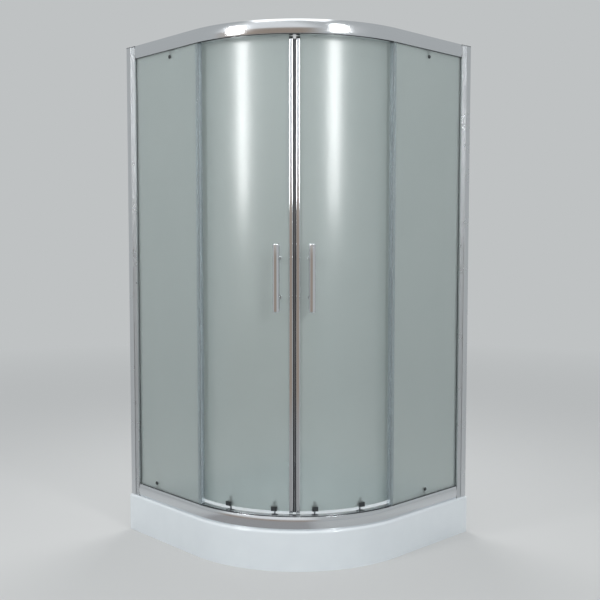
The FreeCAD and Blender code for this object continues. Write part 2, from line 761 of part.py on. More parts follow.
def wall_profile(side):
    far = profile_inset + profile_width
    near_face = profile_inset + profile_skin
    far_face = far - profile_skin
    outline = plan(side, [
        (0, profile_inset), (profile_depth, profile_inset), (profile_depth, near_face),
        (profile_skin, near_face), (profile_skin, far_face), (profile_depth, far_face),
        (profile_depth, far), (0, far)])
    channel = prism("channel_" + side, XY, [outline], ledge, overall_height - cap_height - ledge)
    drills = []
    for number, height in enumerate(hole_heights(), 1):
        wall_hole = cylinder("wall_hole_%s_%d" % (side, number), wall_hole_radius, profile_skin * 3)
        wall_hole.Placement = wall_place(side, -profile_skin, (profile_inset + far) / 2, height, "run")
        side_hole = cylinder("side_hole_%s_%d" % (side, number),
                             post_screw_radius + screw_play, profile_skin * 3)
        side_hole.Placement = wall_place(
            side, screw_run(), far - profile_skin * 2, height + fixing_step, "in")
        drills += [wall_hole, side_hole]
    return cut("wall_profile_" + side, channel, drills)


def screw_run():
    return profile_depth - fixing_setback


def side_post(side):
    """The post slides in the wall channel to take up a wall that is out of true."""
    outer, inner = post_outer, post_inner
    rib = (post_front - profile_depth) / 7
    points = [(post_back, outer)]
    for number in range(3):
        start = profile_depth + rib * (2 * number + 1)
        points += [(start, outer), (start, outer + post_rib),
                   (start + rib, outer + post_rib), (start + rib, outer)]
    points += [
        (post_front, outer), (post_front, groove_low), (groove_run, groove_low), (groove_run, slot_in),
        (post_front, slot_in), (post_front, inner), (post_back, inner),
        (post_back, inner - profile_skin), (web_run, inner - profile_skin),
        (web_run, outer + profile_skin + post_rib), (post_back, outer + profile_skin + post_rib)]
    post = prism("post_" + side, XY, [plan(side, points)], ledge, overall_height - cap_height - ledge)
    drills = []
    for number, height in enumerate(hole_heights(), 1):
        radius = post_screw_radius + screw_play
        drill = cylinder("post_hole_%s_%d" % (side, number), radius, profile_skin * 3)
        drill.Placement = wall_place(
            side, screw_run(), inner - profile_skin * 2, height + fixing_step, "in")
        drills.append(drill)
    for number, height in enumerate(rail_screw_heights(), 1):
        radius = rail_screw_radius + screw_play
        drill = cylinder("end_hole_%s_%d" % (side, number), radius, profile_skin * 3)
        drill.Placement = wall_place(side, web_run - profile_skin, rail_screw_inset(), height, "run")
        drills.append(drill)
    return cut("side_post_" + side, post, drills)


def rail_screw_inset():
    return (slot_out + slot_in) / 2


def rail_screw_steps():
    """Heights of the two end screws above a rail's glass side."""
    return [slot_depth + rail_skin + rail_screw_margin, rail_height - rail_skin - rail_screw_margin]


def rail_screw_heights():
    steps = rail_screw_steps()
    return [rail_top_low - step for step in steps] + [rail_low_high + step for step in steps]


def rail_section(foot, up):
    """Rail outline in (inset, height) points, drawn from its glass side at a foot height.
    Up is +1 for the top rail and -1 for the bottom rail, which is the same bar upside down."""
    face = rail_inset
    back = rail_back
    lane = slot_in + rail_skin
    top = rail_height - rail_skin
    web = slot_depth + rail_skin
    bow = arc_radius(rail_height, rail_crown)
    inner_bow = arc_radius(top - web, rail_crown * face_skin_share)
    points = [
        (face, 0, -bow), (face, rail_height), (back, rail_height), (back, rail_height - rail_return),
        (back - rail_skin, rail_height - rail_return), (back - rail_skin, top), (slot_out, top, inner_bow),
        (slot_out, web), (lane, web), (lane, rail_skin), (back - rail_skin, rail_skin),
        (back - rail_skin, rail_skin + track_lip), (back, rail_skin + track_lip), (back, 0),
        (slot_in, 0), (slot_in, slot_depth), (slot_out, slot_depth), (slot_out, 0)]
    outline = []
    for point in points:
        height = foot + Dim.of(point[1]) * up
        if len(point) == 3:
            outline.append((point[0], height, point[2] * up))
        else:
            outline.append((point[0], height))
    return outline


def arc_radius(chord, rise):
    """Radius of the arc that rises this far over this chord."""
    return chord * chord / (rise * 8) + rise / 2


def rail(label, foot, up):
    """One bar, bent to the bow with a straight stretch at each end."""
    body = new_body(label)
    path = body.newObject("Sketcher::SketchObject", label + "_path")
    path.AttachmentSupport = (origin_plane(body, XY), [""])
    path.MapMode = "FlatFace"
    line = rail_inset
    start_x = rail_start - half
    front = line - half
    side = half - line
    radius = corner_radius - line
    centre = FreeCAD.Vector(bow_x.value, bow_y.value, 0)
    ring = Part.Circle(centre, FreeCAD.Vector(0, 0, 1), radius.value)
    path.addGeometry([
        Part.LineSegment(FreeCAD.Vector(start_x.value, front.value, 0),
                         FreeCAD.Vector(bow_x.value, front.value, 0)),
        Part.ArcOfCircle(ring, -math.pi / 2, 0),
        Part.LineSegment(FreeCAD.Vector(side.value, bow_y.value, 0),
                         FreeCAD.Vector(side.value, -start_x.value, 0))], False)
    pins = (("DistanceX", 0, 1, start_x), ("DistanceY", 0, 1, front), ("DistanceX", 0, 2, bow_x),
            ("DistanceY", 0, 2, front), ("DistanceX", 2, 1, side), ("DistanceY", 2, 1, bow_y),
            ("DistanceX", 2, 2, side), ("DistanceY", 2, 2, -start_x))
    path.addConstraint(
        [Sketcher.Constraint("Coincident", 0, 2, 1, 1), Sketcher.Constraint("Coincident", 1, 2, 2, 1)]
        + [Sketcher.Constraint(kind, -1, 1, line_id, end, dim.value) for kind, line_id, end, dim in pins]
        + [Sketcher.Constraint("Radius", 1, radius.value)])
    for number, pin in enumerate(pins):
        bind(path, number + 2, pin[3])
    bind(path, len(pins) + 2, radius)
    section = add_sketch(body, YZ, start_x)
    outline = []
    for point in rail_section(foot, up):
        moved = (point[0] - half,) + tuple(point[1:])
        outline.append(moved)
    draw_outline(section, outline)
    pipe = body.newObject("PartDesign::AdditivePipe", label + "_pipe")
    pipe.Profile = section
    pipe.Spine = (path, [])
    path.Visibility = False
    section.Visibility = False
    return body


def rail_ends():
    """Plastic plates between posts and rails, each with a plug in the rail, and their screws."""
    blocks = []
    screws = []
    notch = slot_in + end_play
    notch_top = slot_depth + end_play
    for side in SIDES:
        for name, foot, up in (("bottom", rail_top_low, -1), ("top", rail_low_high, 1)):
            tag = "%s_%s" % (name, side)
            plate = run_prism("end_plate_" + tag, side, [turned_outline([
                (notch, 0), (rail_back, 0), (rail_back, rail_height),
                (rail_inset, rail_height), (rail_inset, notch_top), (notch, notch_top)], foot, up)],
                post_front, end_plate)
            low = slot_depth + rail_skin + end_play
            high = rail_height - rail_skin - end_play
            near = slot_out + end_play
            far = rail_back - rail_skin - end_play
            plug = run_prism("end_plug_" + tag, side, [turned_outline([
                (near, low), (far, low), (far, high), (near, high)], foot, up)],
                post_front + end_plate / 2, end_plate / 2 + end_plug)
            drills = []
            for height in rail_screw_steps():
                spot = foot + height * up
                drill = cylinder("plug_hole", rail_screw_radius + screw_play, end_plug * 2)
                drill.Placement = wall_place(side, post_front - end_plate, rail_screw_inset(), spot, "run")
                drills.append(drill)
                screw = turned("rail_screw", pan_screw(rail_screw_radius, rail_screw_length))
                screw.Placement = wall_place(side, web_run, rail_screw_inset(), spot, "run")
                screws.append(screw)
            blocks.append(cut("rail_end_" + tag, fused("rail_end_blank_" + tag, [plate, plug]), drills))
    node(group("rail_end_blocks", blocks))
    node(group("rail_screws", screws))


def turned_outline(points, foot, up):
    """Section points measured from a rail's glass side, set at its foot height."""
    return [(point[0], foot + Dim.of(point[1]) * up) for point in points]


def pan_screw(radius, length):
    """Head below Z = 0, shank above it."""
    return [(0, -screw_head_height), (screw_head_radius * 0.7, -screw_head_height),
            (screw_head_radius, -screw_head_height * 0.5), (screw_head_radius, 0),
            (radius, 0), (radius, length - screw_tip), (radius - screw_tip, length), (0, length)]


def post_screws():
    screws = []
    far = profile_inset + profile_width
    for side in SIDES:
        for height in hole_heights():
            screw = turned("post_screw", pan_screw(post_screw_radius, post_screw_length))
            place = wall_place(side, screw_run(), far, height + fixing_step, "in")
            turn = place.Rotation.multiply(FreeCAD.Rotation(FreeCAD.Vector(1, 0, 0), 180))
            screw.Placement = FreeCAD.Placement(place.Base, turn)
            screws.append(screw)
    node(group("post_screws", screws))


def profile_caps():
    caps = []
    for side in SIDES:
        far = profile_inset + profile_width
        outline = plan(side, [
            (0, profile_inset), (profile_depth, profile_inset), (profile_depth, post_outer),
            (post_front, post_outer), (post_front, post_inner), (profile_depth, post_inner),
            (profile_depth, far), (0, far)])
        caps.append(prism("cap_" + side, XY, [outline], overall_height - cap_height, cap_height))
    node(group("profile_caps", caps))


# fixed panes

fixed_run = side_length - corner_radius
fixed_end = fixed_run + fixed_overlap
fixed_start = groove_run + gasket_wall
fixed_low = rail_top_low - slot_depth + gasket_wall
fixed_high = rail_low_high + slot_depth - gasket_wall


def clip_places(side):
    """Run and height of the two clip screws of one side, and which way the rail lies."""
    runs = (clip_left_bottom, clip_left_top) if side == "left" else (clip_right, clip_right)
    return ((fixed_run - runs[0], rail_top_low + clip_drop, -1),
            (fixed_run - runs[1], rail_low_high - clip_drop, 1))


def fixed_glass(side):
    inner = fixed_inset + glass_thickness
    pane = prism("pane_" + side, XY, [plan(side, [
        (fixed_start, fixed_inset), (fixed_end, fixed_inset), (fixed_end, inner), (fixed_start, inner)])],
        fixed_low, fixed_high - fixed_low)
    drills = []
    for run, height, up in clip_places(side):
        drill = cylinder("clip_hole", clip_screw_radius + glass_hole_play, glass_thickness * 3)
        drill.Placement = wall_place(side, run, fixed_inset - glass_thickness, height, "in")
        drills.append(drill)
    return cut("fixed_glass_" + side, pane, drills)


def glazing_gaskets():
    """Rubber channels round the fixed panes' edges, in the posts and in both rails."""
    pieces = []
    outer, inner = slot_out, slot_in
    glass_in = fixed_inset + glass_thickness
    for side in SIDES:
        pieces.append(prism("post_gasket_" + side, XY, [plan(side, [
            (post_front, groove_low), (groove_run, groove_low), (groove_run, inner), (post_front, inner),
            (post_front, glass_in), (fixed_start, glass_in), (fixed_start, fixed_inset),
            (post_front, fixed_inset)])], rail_top_low, rail_low_high - rail_top_low))
        for name, foot, up in (("bottom", rail_top_low, -1), ("top", rail_low_high, 1)):
            pieces.append(run_prism("rail_gasket_%s_%s" % (name, side), side, [turned_outline([
                (outer, 0), (outer, slot_depth), (inner, slot_depth), (inner, 0), (glass_in, 0),
                (glass_in, slot_depth - gasket_wall), (fixed_inset, slot_depth - gasket_wall),
                (fixed_inset, 0)], foot, up)], rail_start, fixed_run - rail_start))
    node(group("glazing_gaskets", pieces))


def edge_seals():
    """Clear seals on the free edges of the fixed panes, each with a fin towards the door."""
    pieces = []
    low = fixed_inset - seal_gap
    high = fixed_inset + glass_thickness + seal_gap
    inside = fixed_end + seal_gap
    outside = inside + seal_skin
    fin = high + seal_skin + fin_reach
    for side in SIDES:
        pieces.append(prism("edge_seal_" + side, XY, [plan(side, [
            (fixed_end - seal_grip, low - seal_skin), (outside, low - seal_skin), (outside, fin),
            (inside, fin), (inside, high + seal_skin), (fixed_end - seal_grip, high + seal_skin),
            (fixed_end - seal_grip, high), (inside, high), (inside, low), (fixed_end - seal_grip, low)])],
            rail_top_low + seal_end_gap, rail_low_high - rail_top_low - seal_end_gap * 2))
    node(group("edge_seals", pieces))


def glass_clips():
    """Steel angles screwed under the rails, each with a capped screw through the fixed pane."""
    angles = []
    screws = []
    face = fixed_inset + glass_thickness + seal_gap
    for side in SIDES:
        for run, height, up in clip_places(side):
            rail_face = height + clip_drop * up
            end = rail_face - seal_gap * up
            near = height - clip_width / 2 * up
            bend = end - clip_thickness * up
            angles.append(run_prism("clip_" + side, side, [[
                (face, near), (face + clip_thickness, near), (face + clip_thickness, bend),
                (face + clip_foot, bend), (face + clip_foot, end), (face, end)]],
                run - clip_width / 2, clip_width))
            hole = cylinder("clip_drill", clip_screw_radius + screw_play, clip_thickness * 3)
            hole.Placement = wall_place(side, run, face - clip_thickness, height, "in")
            angles[-1] = cut("clip_angle", angles[-1], [hole])
            reach = glass_thickness + seal_gap + clip_thickness
            screw = turned("clip_screw", [
                (0, -clip_cap), (clip_cap_radius - clip_bevel, -clip_cap),
                (clip_cap_radius, clip_bevel - clip_cap),
                (clip_cap_radius, 0), (clip_screw_radius, 0), (clip_screw_radius, reach),
                (clip_nut_radius, reach), (clip_nut_radius, reach + clip_cap), (0, reach + clip_cap)])
            screw.Placement = wall_place(side, run, fixed_inset, height, "in")
            screws.append(screw)
    node(group("glass_clips", angles))
    node(group("clip_screws", screws))


def track_stops():
    """Rubber blocks in the rails that the rear wheels meet when a door is open."""
    blocks = []
    low = rail_skin
    near = wheel_inset - stop_width / 2
    far = wheel_inset + stop_width / 2
    for side in SIDES:
        for name, foot, up in (("bottom", rail_top_low, -1), ("top", rail_low_high, 1)):
            tag = "stop_%s_%s" % (name, side)
            block = run_prism(tag, side, [turned_outline([
                (near, low), (far, low), (far, low + stop_height), (near, low + stop_height)], foot, up)],
                fixed_run - stop_run - stop_length, stop_length)
            blocks.append(block)
    node(group("track_stops", blocks))


# doors

def arc_points(side, reach, from_angle, to_angle):
    """Two plan points on the bow, in drawing order for that side."""
    points = []
    for angle in (from_angle, to_angle):
        angle = Dim.of(angle)
        x = bow_x + reach * angle.sin()
        y = bow_y - reach * angle.cos()
        points.append(mirrored(x, y, side))
    return points


door_outer = glass_middle + glass_thickness / 2
door_inner = glass_middle - glass_thickness / 2
degrees_per_length = Dim(180 / math.pi, "57.29577951308232") / glass_middle
closing_low = rail_top_low + closing_foot_gap
closing_high = rail_low_high - closing_head_gap
closing_face = magnet_thickness + magnet_gap
closing_back = closing_face + closing_width
shut_angle = full_bow / 2 - (closing_back - closing_slot) * degrees_per_length
rear_end = -(door_overlap * degrees_per_length)
wheel_reach = corner_radius - wheel_inset


def roller_places():
    return (("rear", rear_angle), ("front", front_angle))


def door_glass(side):
    flip = 1 if side == "left" else -1
    outer = arc_points(side, door_outer, rear_end, shut_angle)
    inner = arc_points(side, door_inner, rear_end, shut_angle)
    outline = [outer[0] + (door_outer * flip,), outer[1], inner[1] + (door_inner * -flip,), inner[0]]
    pane = prism("door_pane_" + side, XY, [outline], door_bottom, door_top - door_bottom)
    drills = []
    for name, angle in roller_places():
        for height, radius in ((axle_height, axle_radius), (door_bottom + housing_height / 2, peg_radius)):
            drill = cylinder("roller_hole", radius + glass_hole_play, glass_thickness * 3)
            drill.Placement = bow_place(side, angle, door_inner - glass_thickness, height, True)
            drills.append(drill)
    for height in (handle_height - handle_spacing / 2, handle_height + handle_spacing / 2):
        drill = cylinder("handle_hole", handle_screw_radius + glass_hole_play, glass_thickness * 3)
        drill.Placement = bow_place(side, handle_angle, door_inner - glass_thickness, height, True)
        drills.append(drill)
    return cut(side + "_door_glass", pane, drills)


def closing_plan(side, points):
    """Points (outwards from the glass, back from the middle plane) at the closing edge."""
    flip = 1 if side == "left" else -1
    outline = []
    for point in points:
        back = Dim.of(point[1]) * -flip
        if len(point) == 3:
            outline.append((glass_middle + point[0], back, point[2] * flip))
        else:
            outline.append((glass_middle + point[0], back))
    return outline


def middle_place():
    return bow_place("left", full_bow / 2, 0, 0, False)


slot_middle = closing_back - closing_slot / 2
slot_drift = slot_middle * slot_middle / (glass_middle * 2)
slot_outer = glass_thickness / 2 + seal_gap + closing_ease - slot_drift
slot_inner = -(glass_thickness / 2 + seal_gap + closing_ease + slot_drift)
slot_end = closing_back - closing_slot - seal_gap


def closing_profile(side):
    """Bright bar on the closing edge, grooved for the glass behind and for the magnet in front."""
    deep = closing_depth / 2
    turn = closing_round
    tongue = tongue_width / 2
    profile = prism("closing_" + side, XY, [closing_plan(side, [
        (deep - turn, closing_back, -turn), (deep, closing_back - turn), (deep, closing_face + turn, -turn),
        (deep - turn, closing_face), (tongue, closing_face), (tongue, closing_face + magnet_tongue),
        (-tongue, closing_face + magnet_tongue), (-tongue, closing_face), (turn - deep, closing_face, -turn),
        (-deep, closing_face + turn), (-deep, closing_back - turn, -turn), (turn - deep, closing_back),
        (slot_inner, closing_back), (slot_inner, slot_end),
        (slot_outer, slot_end), (slot_outer, closing_back)])],
        closing_low, closing_high - closing_low)
    profile.Placement = middle_place()
    profile.Label = side + "_closing_profile"
    return profile


def magnet_seal(side):
    tongue = tongue_width / 2 - tongue_play
    depth = closing_face + magnet_tongue - tongue_play
    wide = magnet_width / 2
    strip = prism("magnet_" + side, XY, [closing_plan(side, [
        (wide, closing_face), (wide, magnet_gap), (-wide, magnet_gap), (-wide, closing_face),
        (-tongue, closing_face), (-tongue, depth), (tongue, depth), (tongue, closing_face)])],
        closing_low, closing_high - closing_low)
    strip.Placement = middle_place()
    strip.Label = side + "_magnet_seal"
    return strip


def end_caps(side):
    """Small dark caps on both ends of the closing profile, with the same slot for the glass."""
    deep = closing_depth / 2 - closing_cap_inset
    back = closing_back - closing_cap_inset
    face = closing_face + closing_cap_inset
    spans = (("low", rail_top_low + closing_cap_gap, closing_low),
             ("high", closing_high, rail_low_high - closing_cap_gap))
    caps = []
    for name, low, high in spans:
        cap = prism("closing_cap_%s_%s" % (name, side), XY, [closing_plan(side, [
            (deep, back), (deep, face), (-deep, face), (-deep, back), (slot_inner, back),
            (slot_inner, slot_end), (slot_outer, slot_end), (slot_outer, back)])], low, high - low)
        cap.Placement = middle_place()
        caps.append(cap)
    return group(side + "_closing_caps", caps)


def rear_seal(side):
    """Clear seal on the door's rear edge, with a fin towards the fixed pane."""
    flip = 1 if side == "left" else -1
    half_glass = glass_thickness / 2
    inner = half_glass + seal_gap
    outer = inner + seal_skin
    points = [
        (-outer, -seal_grip), (-inner, -seal_grip), (-inner, seal_gap), (inner, seal_gap),
        (inner, -seal_grip), (outer, -seal_grip), (outer, seal_gap), (outer + fin_reach, seal_gap),
        (outer + fin_reach, seal_gap + seal_skin), (-outer, seal_gap + seal_skin)]
    outline = [(glass_middle + out, back * -flip) for out, back in points]
    high = rail_low_high - seal_end_gap
    seal = prism("rear_" + side, XY, [outline], door_bottom, high - door_bottom)
    seal.Placement = bow_place(side, rear_end, 0, 0, False)
    seal.Label = side + "_rear_seal"
    return seal


def handle(side):
    """Round bar on two posts with a screw hole up each post, and the two screws from inside."""
    bar = turned("handle_bar_" + side, [
        (0, 0), (handle_radius - handle_dome, 0), (handle_radius, handle_dome),
        (handle_radius, handle_length - handle_dome), (handle_radius - handle_dome, handle_length),
        (0, handle_length)])
    bar.Placement = bow_place(side, handle_angle, door_outer + handle_reach,
                              handle_height - handle_length / 2, False)
    pieces = [bar]
    holes = []
    screws = []
    for height in (handle_height - handle_spacing / 2, handle_height + handle_spacing / 2):
        post = turned("handle_post_" + side, [
            (0, 0), (rosette_radius, 0), (rosette_radius, rosette_height - rosette_bevel),
            (rosette_radius - rosette_bevel, rosette_height), (handle_post_radius, rosette_height),
            (handle_post_radius, handle_reach - seal_gap), (0, handle_reach - seal_gap)])
        post.Placement = bow_place(side, handle_angle, door_outer + seal_gap, height, True)
        pieces.append(post)
        hole = cylinder("handle_bore", handle_screw_radius + screw_play, handle_bore_depth)
        hole.Placement = bow_place(side, handle_angle, door_outer, height, True)
        holes.append(hole)
        reach = glass_thickness + seal_gap + handle_screw_depth
        screw = turned("handle_screw", [
            (0, -screw_head_height), (handle_screw_head - handle_screw_bevel, -screw_head_height),
            (handle_screw_head, handle_screw_bevel - screw_head_height), (handle_screw_head, 0),
            (handle_screw_radius, 0), (handle_screw_radius, reach), (0, reach)])
        screw.Placement = bow_place(side, handle_angle, door_inner - seal_gap, height, True)
        screws.append(screw)
    whole = fused("handle_blank_" + side, pieces)
    node(cut(side + "_handle", whole, holes))
    return group(side + "_handle_screws", screws)


def hangers(side):
    """Plates inside the glass, axles through plate, glass and upper wheel, and spacers on them."""
    plates = []
    sleeves = []
    axles = []
    back = door_inner - seal_gap - hanger_thickness
    sleeve_start = door_outer + seal_gap
    wheel_back = wheel_reach - wheel_width / 2
    wheel_front = wheel_reach + wheel_width / 2 + wheel_play
    out = hanger_width / 2
    cut_off = out - hanger_corner
    for name, angle in roller_places():
        body = new_body("hanger_%s_%s" % (name, side))
        sketch = add_sketch(body, YZ, back)
        draw_outline(sketch, [
            (-cut_off, -out), (cut_off, -out), (out, -cut_off), (out, cut_off),
            (cut_off, out), (-cut_off, out), (-out, cut_off), (-out, -cut_off)])
        draw_circle(sketch, 0, 0, axle_radius + screw_play)
        add_pad(body, sketch, hanger_thickness)
        body.Placement = bow_place(side, angle, 0, axle_height, False)
        plates.append(body)

        sleeve_length = wheel_back - wheel_play - sleeve_start
        sleeve = turned("sleeve_%s_%s" % (name, side), [
            (axle_radius + screw_play, 0), (sleeve_radius, 0), (sleeve_radius, sleeve_length),
            (axle_radius + screw_play, sleeve_length)])
        sleeve.Placement = bow_place(side, angle, sleeve_start, axle_height, True)
        sleeves.append(sleeve)

        axle = turned("hanger_axle", [
            (0, -axle_head), (axle_head_radius, -axle_head), (axle_head_radius, 0), (axle_radius, 0),
            (axle_radius, wheel_front - back), (axle_head_radius, wheel_front - back),
            (axle_head_radius, wheel_front - back + axle_head), (0, wheel_front - back + axle_head)])
        axle.Placement = bow_place(side, angle, back, axle_height, True)
        axles.append(axle)
    node(group(side + "_hangers", plates))
    node(group(side + "_hanger_sleeves", sleeves))
    node(group(side + "_hanger_axles", axles))


def wheel(label, side, angle, height, radius):
    """Nylon wheel with a shallow crown and a recessed hub."""
    bore = axle_radius + axle_play
    hub = bore + hub_width
    rim = radius - rim_width
    dish = rim - dish_slope
    shoulder = radius - rim_bevel
    far = wheel_width
    piece = turned(label, [
        (bore, 0), (hub, 0), (hub, dish_depth), (dish, dish_depth), (rim, 0), (shoulder, 0),
        (radius, rim_bevel * 2), (radius, far - rim_bevel * 2), (shoulder, far),
        (rim, far), (dish, far - dish_depth), (hub, far - dish_depth), (hub, far), (bore, far)])
    piece.Placement = bow_place(side, angle, wheel_reach - wheel_width / 2, height, True)
    return piece


def arc_between(start, corner, end):
    """The arc that leaves start towards a corner point and reaches end from that corner."""
    weight = (end - start).Length / (2 * (corner - start).Length)
    middle = (start + corner * (2 * weight) + end) * (1 / (2 * (1 + weight)))
    return Part.Arc(start, middle, end).toShape()


def coil(radius, length):
    """A round wire wound on a helix, each half turn as two tangent arcs."""
    radius, length, wire = radius.value, length.value, spring_wire.value
    halves = int(spring_turns.value * 2)
    rise = length / halves
    ends = []
    for half in range(halves + 1):
        around = FreeCAD.Rotation(FreeCAD.Vector(0, 0, 1), 180 * half)
        heading = around.multVec(FreeCAD.Vector(0, math.pi * radius, rise)).normalize()
        ends.append((around.multVec(FreeCAD.Vector(radius, 0, rise * half)), heading))
    arcs = []
    for (start, leaving), (end, arriving) in zip(ends, ends[1:]):
        chord = end - start
        along = chord.dot(leaving + arriving)
        bend = 2 * (1 - leaving.dot(arriving))
        leg = (math.sqrt(along * along + bend * chord.dot(chord)) - along) / bend
        joint = (start + end + (leaving - arriving) * leg) * 0.5
        arcs.append(arc_between(start, start + leaving * leg, joint))
        arcs.append(arc_between(joint, end - arriving * leg, end))
    print("release spring: %.2f mm between turns" % (rise * 2 - wire * 2))
    section = Part.Wire([Part.makeCircle(wire, ends[0][0], ends[0][1])])
    return Part.Wire(arcs).makePipeShell([section], True, False)


def lower_rollers(side):
    """Sprung guide wheels: pressing a button lowers its wheel so that the door can be swung
    inwards for cleaning."""
    inners = []
    springs = []
    guide_up = rail_top_low - rail_skin - wheel_play - guide_radius
    low = door_bottom
    high = door_bottom + housing_height
    inner_face = door_inner - seal_gap
    stem_reach = inner_face - housing_depth + stem_radius + stem_margin
    half_width = housing_width / 2
    for name, angle in roller_places():
        tag = "%s_%s" % (name, side)
        block = box("housing_inner_" + tag, housing_depth, housing_width, housing_height)
        block.Placement = bow_place(side, angle, inner_face - housing_depth, low, False).multiply(
            FreeCAD.Placement(FreeCAD.Vector(0, -half_width.value, 0), FreeCAD.Rotation()))
        bore = cylinder("stem_bore_" + tag, stem_radius + stem_play, housing_height * 2)
        bore.Placement = bow_place(side, angle, stem_reach, low - housing_height / 2, False)
        middle = (low + high) / 2
        socket = cylinder("peg_bore_" + tag, peg_radius + screw_play, peg_depth + peg_gap * 2)
        socket.Placement = bow_place(side, angle, inner_face - peg_depth - peg_gap, middle, True)
        inners.append(cut("housing_" + tag, block, [bore, socket]))
        cover = box("housing_cover_" + tag, housing_cover, housing_width, housing_height)
        cover.Placement = bow_place(side, angle, door_outer + seal_gap, low, False).multiply(
            FreeCAD.Placement(FreeCAD.Vector(0, -half_width.value, 0), FreeCAD.Rotation()))
        peg_length = peg_depth + glass_thickness + seal_gap * 2 + peg_gap
        peg = cylinder("housing_peg_" + tag, peg_radius, peg_length)
        peg.Placement = bow_place(side, angle, inner_face - peg_depth, middle, True)
        inners.append(fused("housing_front_" + tag, [cover, peg]))

        stem_low = guide_up - axle_radius - stem_tip
        button_low = high + spring_length + button_gap - stem_low
        button_high = button_low + button_height
        stem = turned("stem_" + tag, [
            (0, 0), (stem_radius, 0), (stem_radius, button_low),
            (button_radius, button_low), (button_radius, button_high - button_bevel),
            (button_radius - button_bevel, button_high), (0, button_high)])
        stem.Placement = bow_place(side, angle, stem_reach, stem_low, False)
        tip = wheel_reach + wheel_width / 2 + wheel_play
        pin = turned("guide_pin_" + tag, [
            (0, 0), (axle_radius, 0), (axle_radius, tip - stem_reach), (axle_head_radius, tip - stem_reach),
            (axle_head_radius, tip - stem_reach + axle_head), (0, tip - stem_reach + axle_head)])
        pin.Placement = bow_place(side, angle, stem_reach, guide_up, True)
        node(fused("%s_%s_guide_stem" % (side, name), [stem, pin]))
        node(wheel("%s_%s_guide_wheel" % (side, name), side, angle, guide_up, guide_radius))

        spring = doc.addObject("Part::Feature", "spring_" + tag)
        spring.Label = "spring_" + tag
        spring.Shape = coil(stem_radius + spring_wire + spring_play, spring_length - spring_wire * 2)
        spring.Placement = bow_place(side, angle, stem_reach, high + spring_wire + spring_gap, False)
        springs.append(spring)
    node(group(side + "_roller_housings", inners))
    node(group(side + "_release_springs", springs))


def door(side):
    node(door_glass(side))
    node(closing_profile(side))
    node(magnet_seal(side))
    node(end_caps(side))
    node(rear_seal(side))
    node(handle(side))
    hangers(side)
    for name, angle in roller_places():
        node(wheel("%s_%s_top_wheel" % (side, name), side, angle, axle_height, wheel_radius))
    lower_rollers(side)


# assembly

node(drilled_tray())
node(base_board())
feet()
waste()
for side in SIDES:
    node(wall_profile(side))
    node(side_post(side))
node(rail("top_rail", rail_low_high, 1))
node(rail("bottom_rail", rail_top_low, -1))
rail_ends()
post_screws()
profile_caps()
for side in SIDES:
    node(fixed_glass(side))
glazing_gaskets()
edge_seals()
glass_clips()
track_stops()
for side in SIDES:
    door(side)

doc.recompute()

for thing in doc.Objects:
    if "Invalid" in thing.State or "Error" in thing.State:
        raise RuntimeError("%s failed: %s" % (thing.Label, thing.State))
for piece in nodes:
    if piece.Shape.isNull() or not piece.Shape.isValid():
        raise RuntimeError(piece.Label + " has no valid shape")

os.makedirs("parts", exist_ok=True)
for piece in nodes:
    piece.Shape.exportStep("parts/%s.step" % piece.Label)
print(len(nodes), "nodes written")
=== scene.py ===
import bpy
import bmesh
import json
import math
from mathutils import Matrix, Quaternion, Vector


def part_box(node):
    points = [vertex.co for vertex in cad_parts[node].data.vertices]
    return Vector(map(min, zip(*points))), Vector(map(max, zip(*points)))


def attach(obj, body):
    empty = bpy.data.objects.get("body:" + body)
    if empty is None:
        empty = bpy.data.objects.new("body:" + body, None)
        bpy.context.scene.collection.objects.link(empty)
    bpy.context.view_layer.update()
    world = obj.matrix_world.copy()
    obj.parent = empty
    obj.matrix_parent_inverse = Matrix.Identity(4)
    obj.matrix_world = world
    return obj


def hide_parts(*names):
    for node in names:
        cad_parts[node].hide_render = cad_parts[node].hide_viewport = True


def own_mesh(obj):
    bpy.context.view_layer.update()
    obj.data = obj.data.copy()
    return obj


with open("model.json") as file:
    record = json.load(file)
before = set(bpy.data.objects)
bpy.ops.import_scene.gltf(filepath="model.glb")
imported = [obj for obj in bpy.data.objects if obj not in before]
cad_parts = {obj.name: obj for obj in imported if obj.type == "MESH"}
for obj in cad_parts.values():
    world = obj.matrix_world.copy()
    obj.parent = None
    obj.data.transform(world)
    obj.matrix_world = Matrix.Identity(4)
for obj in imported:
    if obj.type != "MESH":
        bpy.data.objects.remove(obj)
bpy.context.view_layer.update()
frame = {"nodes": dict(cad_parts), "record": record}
print("frame: %d nodes" % len(frame["nodes"]))

# The closed corner is at -X +Y. "run" is the distance from a back edge along the straight front, and
# "inset" is the distance inwards from the tray's outer edge, as in the part's source. Metres.
plan = {
    "half": 0.5,              # half of the tray's side
    "bowRadius": 0.55,        # at the tray's edge
    "bowSteps": 72,
    "glass": 0.005,
    "doorInset": 0.060,       # outer face of the doors
    "smoothAngle": 32,        # degrees, edges sharper than this stay sharp
    "roundAngle": 40,         # and those sharper than this are rounded on bars, rails and panes
    "sealAngle": 50,          # and on closing bars and seals
}
bowCentre = Vector((plan["half"] - plan["bowRadius"], plan["bowRadius"] - plan["half"], 0))
sides = ("left", "right")


# which body carries a CAD node, and the record's slot that it takes its finish from
def bodyOf(node):
    for body, names in frame["record"]["behaviour"]["bodies"].items():
        if node in names:
            return body


def slotOf(node):
    for part in frame["record"]["subparts"]:
        if part["node"] == node:
            return part["material_slot"]


# colours are written as sRGB hex
def linear(code):
    parts = [int(code[i:i + 2], 16) / 255 for i in (1, 3, 5)]
    return tuple(p / 12.92 if p <= 0.04045 else ((p + 0.055) / 1.055) ** 2.4 for p in parts) + (1.0,)


